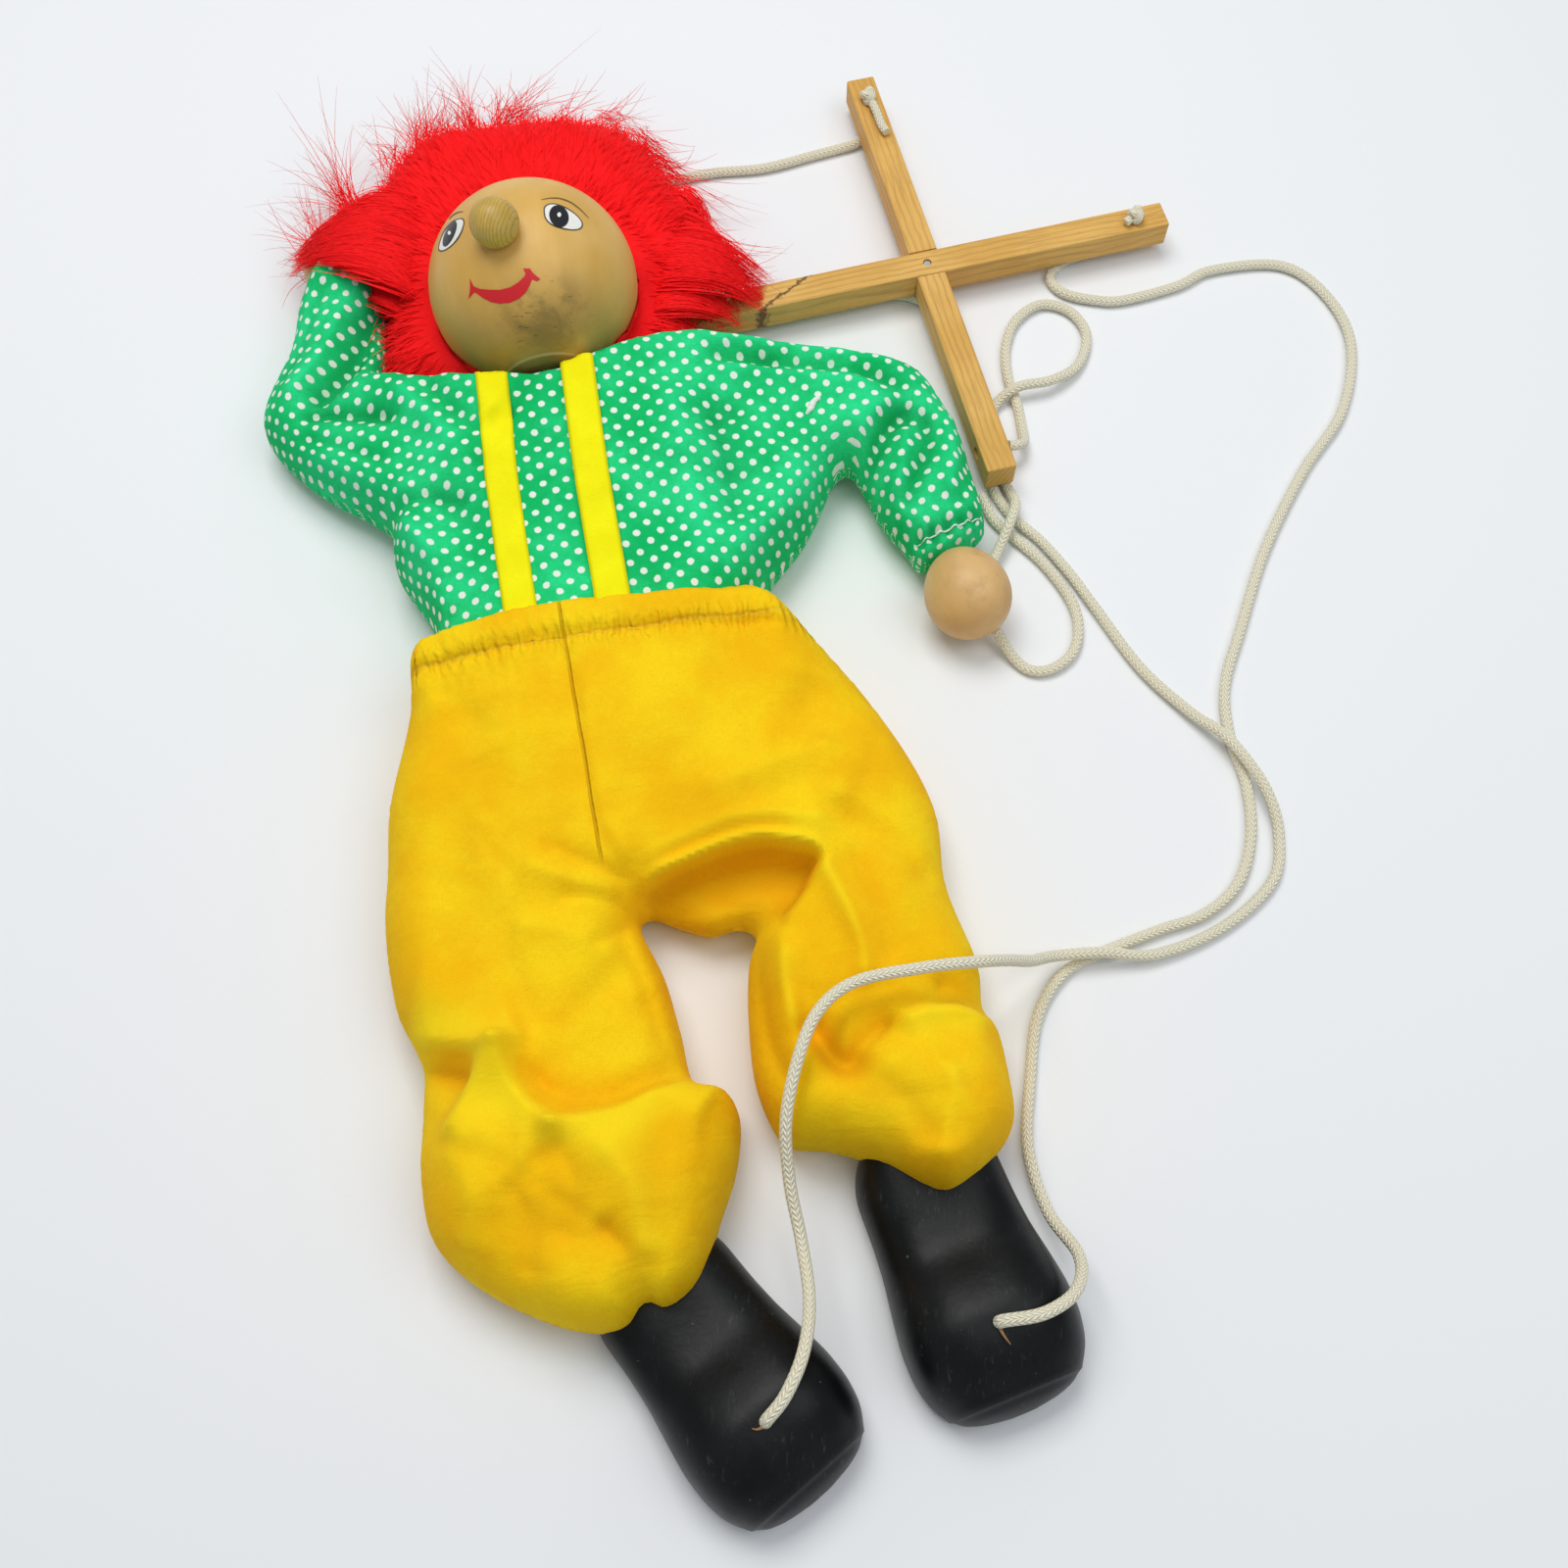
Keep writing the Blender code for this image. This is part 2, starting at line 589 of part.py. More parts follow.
def waistband(doll):
    band = frame("band_axis", (0, SHIRT_HEM - GAP, 0), (0, 0, math.pi), doll)
    rings = [
        ring(0, BAND_HALF_WIDTH, CLOTH_FLOOR, BAND_CEILING, GATHER),
        ring(BAND_WIDTH / 2, BAND_HALF_WIDTH, CLOTH_FLOOR, BAND_CEILING, -GATHER),
        ring(BAND_WIDTH, BAND_HALF_WIDTH, CLOTH_FLOOR, BAND_CEILING, GATHER),
    ]
    item = cloth("waistband", rings, "trousers", band, BODY_SQUARE)
    cut(item, torso_clearance(doll, "band_hollow"))


def seat(doll):
    """The trousers' seat, wide and loose, with a lobe of slack cloth between the legs."""
    top = SHIRT_HEM - 2 * GAP - BAND_WIDTH
    axis = frame("seat_axis", (0, top, 0), (0, 0, math.pi), doll)
    rings = []
    for along, half_width, drop, gathers, side in SEAT_SECTIONS:
        rings.append(ring(along * MM, half_width * MM, CLOTH_FLOOR, SEAT_CEILING - drop * MM,
                          gathers * GATHER, side * MM))
    item = cloth("trousers_seat", rings, "trousers", axis, SEAT_SQUARE)
    cut(item, torso_clearance(doll, "seat_hollow"))
    return item


def limb_frame(name, start, end, parent):
    return frame(name, (start[0], start[1], 0), (0, 0, heading(start, end)), parent)


def level_socket(host, name, axis, radius, half_width, middle, reach, lift):
    """Room in a host for a round end on a level axis, and for the limb that lifts out of it."""
    width = 2 * (half_width + HINGE_GAP)
    hinge_socket(host, name + "_socket", radius, width, axis, (0, 0, middle), (0, math.radians(90), 0))
    low = (-width / 2, 0, -reach)
    high = (width / 2, reach, reach)
    cut(host, cutter(name + "_way", box_mesh(name + "_way", low, high), axis))
    low = (-width / 2, 0, -radius)
    high = (width / 2, reach, radius + HINGE_GAP)
    cut(host, cutter(name + "_lift", box_mesh(name + "_lift", low, high), axis, (0, 0, middle), (lift, 0, 0)))


def upright_socket(host, name, axis, radius, reach):
    """Room in a host for a round end on an upright axis, and for the limb that leaves it."""
    hinge_socket(host, name + "_socket", radius, 2 * reach, axis, (0, 0, 0), (0, 0, 0))
    room = radius + HINGE_GAP
    cut(host, cutter(name + "_way", box_mesh(name + "_way", (-room, 0, -reach), (room, reach, reach)), axis))


def right_arm(doll, body):
    """The arm on the doll's own left: sleeve out to the elbow, then down to the hand."""
    axis = limb_frame("right_shoulder_axis", RIGHT_SHOULDER, RIGHT_ELBOW, doll)
    length = span(RIGHT_SHOULDER, RIGHT_ELBOW)
    rings = round_end_flat(SHOULDER_R, SHOULDER_HALF - HIP_TUCK, SLEEVE_MIDDLE)
    rings.append(ring(0, SHOULDER_HALF, SLEEVE_MIDDLE - SHOULDER_R, SLEEVE_MIDDLE + SHOULDER_R))
    for along, half_width, low, high, side in RIGHT_SLEEVE_SECTIONS:
        rings.append(ring(along * MM, half_width * MM, low * MM, high * MM, 0, side * MM))
    upper = cloth("right_upper_sleeve", rings, "shirt", axis, SLEEVE_SQUARE)
    level_socket(body, "right_shoulder", axis, SHOULDER_R, SHOULDER_HALF, SLEEVE_MIDDLE, 2 * length, SHOULDER_LIFT)
    inner_cord("right_upper_arm_cord", upper, 0, length, SLEEVE_MIDDLE, axis, CORD_SHORT, CORD_SHORT + FOREARM_HALF)

    fore = limb_frame("right_elbow_axis", RIGHT_ELBOW, RIGHT_WRIST, doll)
    level_socket(upper, "right_elbow", fore, ELBOW_R, FOREARM_HALF, ELBOW_MIDDLE, 2 * length, ELBOW_LIFT)
    rings = round_end_flat(ELBOW_R, FOREARM_HALF, ELBOW_MIDDLE)
    rings.append(ring(0, FOREARM_HALF, ELBOW_MIDDLE - ELBOW_R, ELBOW_MIDDLE + ELBOW_R))
    forearm("right", fore, rings, RIGHT_ELBOW, RIGHT_WRIST)


def left_arm(doll, body):
    """The arm on the doll's own right: folded up beside the head."""
    axis = limb_frame("left_shoulder_axis", LEFT_SHOULDER, LEFT_ELBOW, doll)
    length = span(LEFT_SHOULDER, LEFT_ELBOW)
    rings = round_end_upright(LEFT_SHOULDER_R, CLOTH_FLOOR, LEFT_SLEEVE_TOP)
    rings.append(ring(0, LEFT_SHOULDER_R, CLOTH_FLOOR, LEFT_SLEEVE_TOP))
    for share, half_width, high in LEFT_SLEEVE_SECTIONS:
        rings.append(ring(share * length, half_width * MM, CLOTH_FLOOR, high * MM))
    upper = cloth("left_upper_sleeve", rings, "shirt", axis, SLEEVE_SQUARE)
    upright_socket(body, "left_shoulder", axis, LEFT_SHOULDER_R, 2 * length)
    inner_cord("left_upper_arm_cord", upper, 0, length, SLEEVE_MIDDLE, axis, CORD_SHORT,
               CORD_SHORT + LEFT_ELBOW_R)

    fore = limb_frame("left_elbow_axis", LEFT_ELBOW, LEFT_WRIST, doll)
    upright_socket(upper, "left_elbow", fore, LEFT_ELBOW_R, 2 * length)
    rings = round_end_upright(LEFT_ELBOW_R, CLOTH_FLOOR, LEFT_ELBOW_TOP)
    rings.append(ring(0, LEFT_ELBOW_R, CLOTH_FLOOR, LEFT_ELBOW_TOP))
    forearm("left", fore, rings, LEFT_ELBOW, LEFT_WRIST)


def forearm(side, axis, rings, elbow, wrist):
    """A lower sleeve, drawn in at its gathered cuff, its cord, and the wooden hand below it."""
    length = span(elbow, wrist)
    for share, half_width, high in FOREARM_SECTIONS:
        rings.append(ring(share * length, half_width * MM, CLOTH_FLOOR, high * MM))
    for share, size, gathers in CUFF_SECTIONS:
        radius = size * CUFF_R
        rings.append(ring(share * length, radius, ELBOW_MIDDLE - radius, ELBOW_MIDDLE + radius, gathers * GATHER))
    sleeve = cloth(side + "_lower_sleeve", rings, "shirt", axis, SLEEVE_SQUARE)
    inner_cord(side + "_forearm_cord", sleeve, 0, length, ELBOW_MIDDLE, axis, CORD_SHORT, 0)
    wrist_axis = frame(side + "_wrist_axis", (0, length + HINGE_GAP + WRIST_DEPTH, HAND_HEIGHT), (0, 0, 0), axis)
    hand(side + "_hand", wrist_axis)


def hand(name, wrist_axis):
    """A turned egg, its blunt end outwards, with a hole for its string."""
    profile = []
    for step in range(HAND_STEPS + 1):
        angle = math.pi * step / HAND_STEPS
        blunt = 1.0 + HAND_BLUNT * math.cos(angle)
        profile.append((HAND_R * math.sin(angle) * blunt, HAND_LENGTH / 2 * math.cos(angle)))
    profile[0] = (0.0, HAND_LENGTH / 2)
    profile[-1] = (0.0, -HAND_LENGTH / 2)
    turned(name, profile, "wood", wrist_axis, (0, HAND_LENGTH / 2 - WRIST_DEPTH, 0), (math.radians(-90), 0, 0))


def leg(side, doll, host, hip, knee, ankle, widths):
    """A trouser leg in two forms, split at the knee, with the leg cord through both."""
    thigh_half, knee_half, calf_half = widths
    axis = limb_frame(side + "_hip_axis", hip, knee, doll)
    length = span(hip, knee)
    rings = round_end_flat(HIP_R, thigh_half - HIP_TUCK, HIP_MIDDLE)
    rings.append(ring(0, thigh_half, HIP_MIDDLE - HIP_R, HIP_MIDDLE + HIP_R))
    for share, of_thigh, of_knee, high in THIGH_SECTIONS:
        rings.append(ring(share * length, of_thigh * thigh_half + of_knee * knee_half, CLOTH_FLOOR, high * MM))
    rings.append(ring(length, knee_half + KNEE_SWELL, CLOTH_FLOOR, THIGH_KNEE_TOP))
    rings.append(ring(length + KNEE_LAP, knee_half - KNEE_LAP_TUCK, CLOTH_FLOOR, THIGH_LAP_TOP))
    thigh = cloth(side + "_thigh_leg", rings, "trousers", axis, LEG_SQUARE)
    level_socket(host, side + "_hip", axis, HIP_R, thigh_half, HIP_MIDDLE, 2 * length, HIP_LIFT)
    inner_cord(side + "_thigh_cord", thigh, 0, length, HIP_MIDDLE, axis, CORD_SHORT, CORD_SHORT + KNEE_R)

    shin = limb_frame(side + "_knee_axis", knee, ankle, doll)
    level_socket(thigh, side + "_knee", shin, KNEE_R, 2 * calf_half, KNEE_MIDDLE, 2 * length, KNEE_LIFT)
    reach = span(knee, ankle)
    rings = round_end_flat(KNEE_R, knee_half, KNEE_MIDDLE)
    rings.append(ring(0, knee_half + SHIN_SWELL, KNEE_MIDDLE - KNEE_R, KNEE_MIDDLE + KNEE_R))
    for share, of_calf, high, gathers in SHIN_SECTIONS:
        rings.append(ring(share * reach, of_calf * calf_half, CLOTH_FLOOR, high * MM, gathers * GATHER))
    rings.append(ring(ANKLE_SHARE * reach, ANKLE_HALF, CLOTH_FLOOR, ANKLE_TOP, -2 * GATHER))
    rings.append(ring(reach + ANKLE_LAP, ANKLE_HALF, CLOTH_FLOOR, ANKLE_LAP_TOP, 2 * GATHER))
    lower = cloth(side + "_shin_leg", rings, "trousers", shin, LEG_SQUARE)
    room_mesh = cylinder_mesh(side + "_heel_room", HEEL_R + HEEL_ROOM, 2 * (HEEL_HEIGHT + GAP), 28)
    room = cutter(side + "_heel_room", room_mesh, shin, (0, reach, 0))
    cut(lower, room)
    inner_cord(side + "_shin_cord", lower, 0, reach, LEG_CORD_HEIGHT, shin, CORD_SHORT, 0)
    return thigh, lower


def knee_valley(doll, forms):
    """A hollow across the left knee, where the slack cloth sinks between the thigh and the calf."""
    hollow = cutter("knee_valley", cylinder_mesh("knee_valley", VALLEY_R, VALLEY_LENGTH, 20), doll, VALLEY_MIDDLE,
                    (0, math.radians(90), VALLEY_TURN))
    for form in forms:
        cut(form, hollow)


def shoe(side, ankle, toe_turn, doll):
    """A carved shoe with a flat sole and a domed toe. It swivels on its heel, under the leg."""
    axis = frame(side + "_ankle_axis", (ankle[0], ankle[1], 0), (0, 0, toe_turn), doll)
    front = SHOE_LENGTH - HEEL_R
    spread = SHOE_HALF_WIDTH - HEEL_R
    sections = []
    for angle in round_angles(HEEL_START, HEEL_STEPS):
        sections.append((-HEEL_R * math.cos(angle), HEEL_R * math.sin(angle), HEEL_HEIGHT))
    sections.append((0, HEEL_R, HEEL_HEIGHT))
    sections.append((SHOE_WAIST[0] * front, HEEL_R + SHOE_WAIST[1] * spread, HEEL_HEIGHT))
    for share, widened, high in SHOE_MIDDLE:
        sections.append((share * front, HEEL_R + widened * spread, high * TOE_HEIGHT))
    for share, wide, high in SHOE_TOE:
        sections.append((share * front, wide * SHOE_HALF_WIDTH, high * TOE_HEIGHT))
    bm = bmesh.new()
    loops = []
    for along, half_width, height in sections:
        loop = [bm.verts.new((half_width * SOLE_DRAW, along, 0)), bm.verts.new((-half_width * SOLE_DRAW, along, 0))]
        for step in range(SHOE_STEPS + 1):
            angle = math.pi - math.pi * step / SHOE_STEPS
            across = math.copysign(abs(math.cos(angle)) ** SHOE_SQUARE, math.cos(angle))
            upward = math.sin(angle) ** SHOE_SQUARE
            loop.append(bm.verts.new((half_width * across, along, SOLE_EDGE + (height - SOLE_EDGE) * upward)))
        loops.append(loop)
    for first, second in zip(loops, loops[1:]):
        for step in range(len(first)):
            after = (step + 1) % len(first)
            bm.faces.new((first[step], first[after], second[after], second[step]))
    bm.faces.new(loops[0])
    bm.faces.new(loops[-1])
    item = keep(side + "_shoe", mesh_from(bm, side + "_shoe"), "shoe", axis)
    hole_mesh = cylinder_mesh(side + "_string_hole", STRING_HOLE_R, 2 * STRING_HOLE_DEPTH, 16)
    hole = cutter(side + "_string_hole", hole_mesh, axis, (0, front - STRING_HOLE_FROM_TOE, TOE_HEIGHT))
    cut(item, hole)


def control():
    """Two bars in a flush half lap, pinned, with the strings' knots at their ends."""
    cross = frame("control_cross", (CROSS_X, CROSS_Y, BAR_FLOOR), (0, 0, CROSS_TURN))
    half = BAR_LENGTH / 2
    side = BAR_SIDE / 2
    main_bar = keep("main_bar", box_mesh("main_bar", (-side, -half, 0), (side, half, BAR_SIDE), BAR_EDGE),
                    "bar", cross)
    cross_bar = keep("cross_bar", box_mesh("cross_bar", (-half, -side, 0), (half, side, BAR_SIDE), BAR_EDGE),
                     "bar", cross)
    room = side + GAP
    over = 2 * BAR_SIDE
    main_lap = box_mesh("main_lap", (-over, -room, side - GAP / 2), (over, room, over))
    cross_lap = box_mesh("cross_lap", (-room, -over, -over), (room, over, side + GAP / 2))
    cut(main_bar, cutter("main_lap", main_lap, cross))
    cut(cross_bar, cutter("cross_lap", cross_lap, cross))
    pin_hole = cutter("pin_hole", cylinder_mesh("pin_hole", PIN_R + GAP, 4 * BAR_SIDE, 12), cross)
    pin_length = BAR_SIDE - 2 * BAR_EDGE
    keep("lap_pin", cylinder_mesh("lap_pin", PIN_R, pin_length, 12), "steel", cross, (0, 0, side))
    for bar in (main_bar, cross_bar):
        cut(bar, pin_hole)
    hole_at = half - BAR_HOLE_FROM_END
    holes = (("head_knot", main_bar, (0, hole_at)), ("left_foot_knot", cross_bar, (-hole_at, 0)),
             ("right_foot_knot", cross_bar, (hole_at, 0)))
    for name, bar, (x, y) in holes:
        cut(bar, cutter(name + "_hole", cylinder_mesh(name + "_hole", BAR_HOLE_R, 4 * BAR_SIDE, 16), cross, (x, y, 0)))
        knot(name, cross, (x, y))
    hand_hole = cylinder_mesh("hand_hole", BAR_HOLE_R, 4 * BAR_SIDE, 16)
    cut(main_bar, cutter("hand_hole", hand_hole, cross, (0, -hole_at, side), (0, math.radians(90), 0)))


def knot(name, cross, at):
    """A string's knot on top of the bar, with its end down in the hole."""
    seat = BAR_SIDE + GAP
    profile = [(point[0], point[1] + seat + KNOT_SEAT) for point in ball_profile(KNOT_R, -KNOT_SEAT, 6)]
    profile += [(CORD_R, seat), (CORD_R, BAR_EDGE), (0.0, BAR_EDGE)]
    turned(name, profile, "cord", cross, (at[0], at[1], 0), steps=12)


def smooth_route(points, spacing):
    """Points a spacing apart on a smooth curve through the route's own points."""
    knots = [Vector(point) * MM for point in points]
    knots = [2 * knots[0] - knots[1]] + knots + [2 * knots[-1] - knots[-2]]
    fine = []
    for first, second, third, fourth in zip(knots, knots[1:], knots[2:], knots[3:]):
        for step in range(ROUTE_STEPS):
            t = step / ROUTE_STEPS
            fine.append(0.5 * (2 * second + (third - first) * t
                               + (2 * first - 5 * second + 4 * third - fourth) * t * t
                               + (3 * second - first - 3 * third + fourth) * t ** 3))
    fine.append(knots[-2])
    total = sum((b - a).length for a, b in zip(fine, fine[1:]))
    count = max(2, round(total / spacing))
    even, travelled, wanted = [fine[0]], 0.0, 1
    for a, b in zip(fine, fine[1:]):
        step = (b - a).length
        while wanted < count and travelled + step >= total * wanted / count:
            even.append(a.lerp(b, (total * wanted / count - travelled) / step))
            wanted += 1
        travelled += step
    even.append(fine[-1])
    return even


def string(name, points):
    curve = bpy.data.curves.new(name, "CURVE")
    curve.dimensions = "3D"
    curve.bevel_depth = CORD_R
    curve.bevel_resolution = 1
    curve.use_fill_caps = True
    curve.render_resolution_u = 0
    even = smooth_route(points, STRING_SPACING)
    spline = curve.splines.new("POLY")
    spline.points.add(len(even) - 1)
    for point, place in zip(spline.points, even):
        point.co = (*place, 1.0)
    curve.materials.append(paint(name, "cord"))
    item = bpy.data.objects.new(name, curve)
    PARTS.objects.link(item)


def strings():
    for name, points in STRING_ROUTES.items():
        string(name, points)


def build():
    doll = frame("doll", (HEAD_X, HEAD_Y, 0), (0, 0, LEAN))
    head = head_and_nose(doll)
    wig(doll)
    torso(doll, head)
    body = shirt(doll)
    suspenders(doll)
    waistband(doll)
    hips = seat(doll)
    right_arm(doll, body)
    left_arm(doll, body)
    left_leg = leg("left", doll, hips, LEFT_HIP, LEFT_KNEE, LEFT_ANKLE, LEFT_WIDTHS)
    knee_valley(doll, left_leg)
    leg("right", doll, hips, RIGHT_HIP, RIGHT_KNEE, RIGHT_ANKLE, RIGHT_WIDTHS)
    shoe("left", LEFT_ANKLE, LEFT_TOE_TURN, doll)
    shoe("right", RIGHT_ANKLE, RIGHT_TOE_TURN, doll)
    control()
    strings()


PARTS = None
CUTTERS = None


def main():
    global PARTS, CUTTERS
    clear_scene()
    PARTS = new_collection("marionette")
    CUTTERS = new_collection("cutters")
    build()


main()
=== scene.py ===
import json
import math

import bmesh
import bpy
import numpy as np
from mathutils import Matrix, Vector, geometry


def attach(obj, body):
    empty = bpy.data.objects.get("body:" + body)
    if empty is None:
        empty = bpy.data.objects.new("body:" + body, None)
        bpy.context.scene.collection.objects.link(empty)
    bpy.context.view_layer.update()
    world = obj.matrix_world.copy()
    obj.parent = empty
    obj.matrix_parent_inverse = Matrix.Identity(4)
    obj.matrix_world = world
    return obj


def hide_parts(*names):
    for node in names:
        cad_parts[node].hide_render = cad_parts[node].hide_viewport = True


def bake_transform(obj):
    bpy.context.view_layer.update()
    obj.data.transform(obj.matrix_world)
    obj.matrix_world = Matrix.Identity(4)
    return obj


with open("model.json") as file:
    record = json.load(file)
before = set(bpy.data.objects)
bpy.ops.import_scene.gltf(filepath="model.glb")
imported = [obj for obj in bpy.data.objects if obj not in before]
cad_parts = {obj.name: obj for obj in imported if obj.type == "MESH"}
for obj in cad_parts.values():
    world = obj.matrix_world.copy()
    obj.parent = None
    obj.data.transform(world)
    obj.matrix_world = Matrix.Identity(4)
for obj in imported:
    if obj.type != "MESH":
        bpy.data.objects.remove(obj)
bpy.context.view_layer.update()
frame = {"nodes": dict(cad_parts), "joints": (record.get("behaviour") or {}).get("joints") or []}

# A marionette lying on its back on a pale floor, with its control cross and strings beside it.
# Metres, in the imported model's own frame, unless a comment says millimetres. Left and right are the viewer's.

MM = 0.001
FULL_TURN = 2 * math.pi
RNG = np.random.default_rng(11)
NODES = frame["nodes"]
JOINTS = {joint["name"]: joint for joint in frame["joints"]}

# Camera: its place and tilt, and the photograph's size and focal length in its own pixels
CAMERA_AT = (0.020, -0.236, 0.474)
CAMERA_TILT = math.radians(23)
PHOTO_SIZE = 1600
PHOTO_FOCUS = 1716
SENSOR = 36.0
LENS = SENSOR * PHOTO_FOCUS / PHOTO_SIZE
NEAREST = 0.01

# Light: the sky's colour and strength, and each lamp's place, size, power and colour
SKY_COLOUR = (0.93, 0.97, 1.0, 1.0)
SKY_STRENGTH = 0.36
LAMPS = {
    "key": ((-0.22, 0.45, 1.25), (0.8, 0.6), 9.6, (1.0, 0.985, 0.96)),
    "fill": ((0.6, -0.15, 1.3), (0.9, 0.9), 5.0, (0.95, 0.98, 1.0)),
}
FLOOR_SIZE = 6.0
PAPER = (0.86, 0.875, 0.90)

# The head's middle, and how far the doll leans on the table
HEAD_X = -61 * MM
HEAD_Y = 125 * MM
HEAD_HEIGHT = 35.5 * MM
LEAN = math.radians(11)

# Cords
CURVE_STEPS = 24            # between two points of a route or line, before it is made even
CORD_R = 1.7 * MM
CORD_SPACING = 1.4 * MM
CORD_SIDES = 14
CORD_REST = 1.9             # height of a cord's middle where it lies on the table, in millimetres
HOLE_DEPTH = 4.0            # how far a foot's string goes down into its shoe, in millimetres
BRAID_PITCH = 1.7 * MM
BRAID_COLUMNS = 5.0
BRAID_SLANT = 0.85          # how far a strand's middle lies behind its ends, in pitches

# Routes of the strings in millimetres, from the control cross to the doll; without a height, on the table
STRING_ROUTES = {
    "head_string": [
        (50.2, 225.6), (49.5, 221), (46, 217.4), (40, 215), (31, 212), (13, 206), (-4, 204),
        (-16, 201, 2.2), (-24.5, 196.6, 3.8), (-29.3, 192.9, 5.8),
    ],
    "right_foot_string": [
        (141.6, 171.8), (129, 168), (118, 163.5), (113, 156.5), (117.5, 150), (128, 147), (138, 147),
        (157, 153), (170, 160), (194, 162), (208, 150), (214.5, 129), (208, 101), (192, 77), (176, 47),
        (165, 18), (158, -2), (157.5, -19), (161, -36), (160.5, -53), (155, -68), (144, -77.5),
        (130, -82.5), (109, -91), (100, -97), (93, -109), (90, -126), (88, -146, 3.0), (92, -164, 6.0),
        (98, -177, 16.0), (95, -187, 26.0), (86, -193, 30.8), (75.4, -194.8, 29.5),
    ],
    "left_foot_string": [
        (-3.6, 134.2), (25, 141.6), (52, 148.6), (66, 147.5), (74.5, 137), (77, 118), (80, 104), (84.5, 90),
        (87.6, 76), (90.5, 66), (95.8, 58), (103.5, 50), (112, 38), (119, 26), (132, 4), (146, -12, 3.0),
        (154.5, -20.5, 5.8), (161, -30, 6.2), (166.5, -40, 4.6), (169, -52), (165.5, -67), (150, -81),
        (129, -90, 3.0), (112, -90.5, 6.2), (98, -92, 7.5), (90, -96, 16), (82, -99.5, 28), (72, -103, 38),
        (57, -106, 42.5), (39, -110, 43), (29, -118, 43), (23.5, -131, 42), (20.5, -146, 37),
        (21.5, -160, 27.5), (24.5, -174, 22), (26.5, -189, 24.5), (25, -202, 30), (20.5, -212.5, 31.2),
        (15.8, -218.2, 29.0),
    ],
    "hand_string": [
        (93.8, 82.0, 9.2), (97.0, 83.0, 8.2), (99.6, 87, 4.2), (99.6, 95), (98.5, 104), (96, 115),
        (96, 127), (100, 138), (109, 145), (119, 142), (124, 132), (120, 119, 2.4), (110, 111, 5.0),
        (99, 108, 5.6), (92, 104, 2.4), (89.2, 96), (90.6, 84), (92.8, 73), (94.8, 66.8, 3.0),
        (95.2, 61, 6.8), (92.8, 53.5, 7.2), (88.6, 44, 4.6), (84.2, 34.2, 7.1),
    ],
    "hand_return_string": [
        (84.8, 67.4, 2.1), (88.5, 58.2), (95.6, 50.6), (103.6, 42.0), (111, 30), (113.5, 20), (111.5, 10),
        (105, 4), (98, 3), (92.5, 7, 2.4), (86.6, 14.8, 6.7),
    ],
}

# Which body holds each string, and how far along it in millimetres; a minus counts from its far end.
# A stretch between two holds of one body rides on that body; a stretch between two bodies stays where it is.
STRING_HOLDS = {
    "head_string": [(0, "control"), (46, "torso"), (None, "head")],
    "right_foot_string": [
        (0, "control"), (140, "torso"), (-150, "torso"), (-93, "right_thigh"), (-56, "right_shin"),
        (None, "right_foot"),
    ],
    "left_foot_string": [
        (0, "control"), (150, "control"), (285, "torso"), (-262, "torso"), (-192, "right_thigh"),
        (-128, "right_thigh"), (-96, "torso"), (-64, "left_thigh"), (-32, "left_shin"), (None, "left_foot"),
    ],
    "hand_string": [
        (0, "control"), (60, "torso"), (-99, "torso"), (-66, "right_upper_arm"), (-33, "right_forearm"),
        (None, "right_hand"),
    ],
    "hand_return_string": [
        (0, "torso"), (34, "right_upper_arm"), (67, "right_forearm"), (None, "right_hand"),
    ],
}

# Cloth, in millimetres
CLOTH_STEP = 1.35           # spacing of a cloth form's points
CLOTH_FLOOR = 0.7           # height of its underside
RIM_STEPS = (0.25, 0.8, 1.7, 2.8)
ROW_SHARE = 0.866           # of the spacing, between rows of points
CONTROL_BLUR = 9.0
FOLD_FADE = 0.16            # share of a fold's length over which it rises at each end
FOLD_POWER = 1.25
SMOOTHING = 1
SIDE_DRAPE = 0.55           # how much of a side's height counts as cloth, for the print and weave
CREASE_LENGTH = (8, 26)
CREASE_WIDTH = (1.6, 4.2)
CREASE_BOW = 0.006
THREAD = 0.42 * MM
SMALL_CREASES = {           # how many, along which way, how far that varies, and how high
    "trousers": (190, math.radians(100), 0.9, 0.55),
    "shirt": (220, math.radians(60), 1.2, 0.75),
    "wig": (120, math.radians(90), 1.2, 0.8),
}

# Trousers, in millimetres: outline from the left end of the waistband down round both legs
TROUSER_EDGE = 11.0
TROUSERS = [
    (-90, -2), (-92, -20), (-96, -49), (-95, -70), (-94, -88), (-89, -110), (-83, -121), (-80, -128),
    (-79, -142), (-78, -157), (-73, -174), (-59, -186), (-38, -195), (-22, -196), (-16, -190), (-10, -191),
    (-2, -184), (3, -168), (7, -155), (8, -141), (4, -133), (-5, -130), (-9, -116), (-14, -100), (-21, -86),
    (-18, -82), (-9, -85), (-1, -87), (7, -85), (12, -88), (10, -97), (10, -112), (12, -130), (17, -143),
    (22, -148), (33, -149), (46, -153), (59, -160), (66, -160), (77, -151), (83, -141), (82, -127),
    (80, -116), (76, -109), (75, -96), (67, -73), (64, -47), (48, -17), (29, 6), (13, 18), (0, 17),
    (-20, 14), (-39, 12), (-65, 7),
]
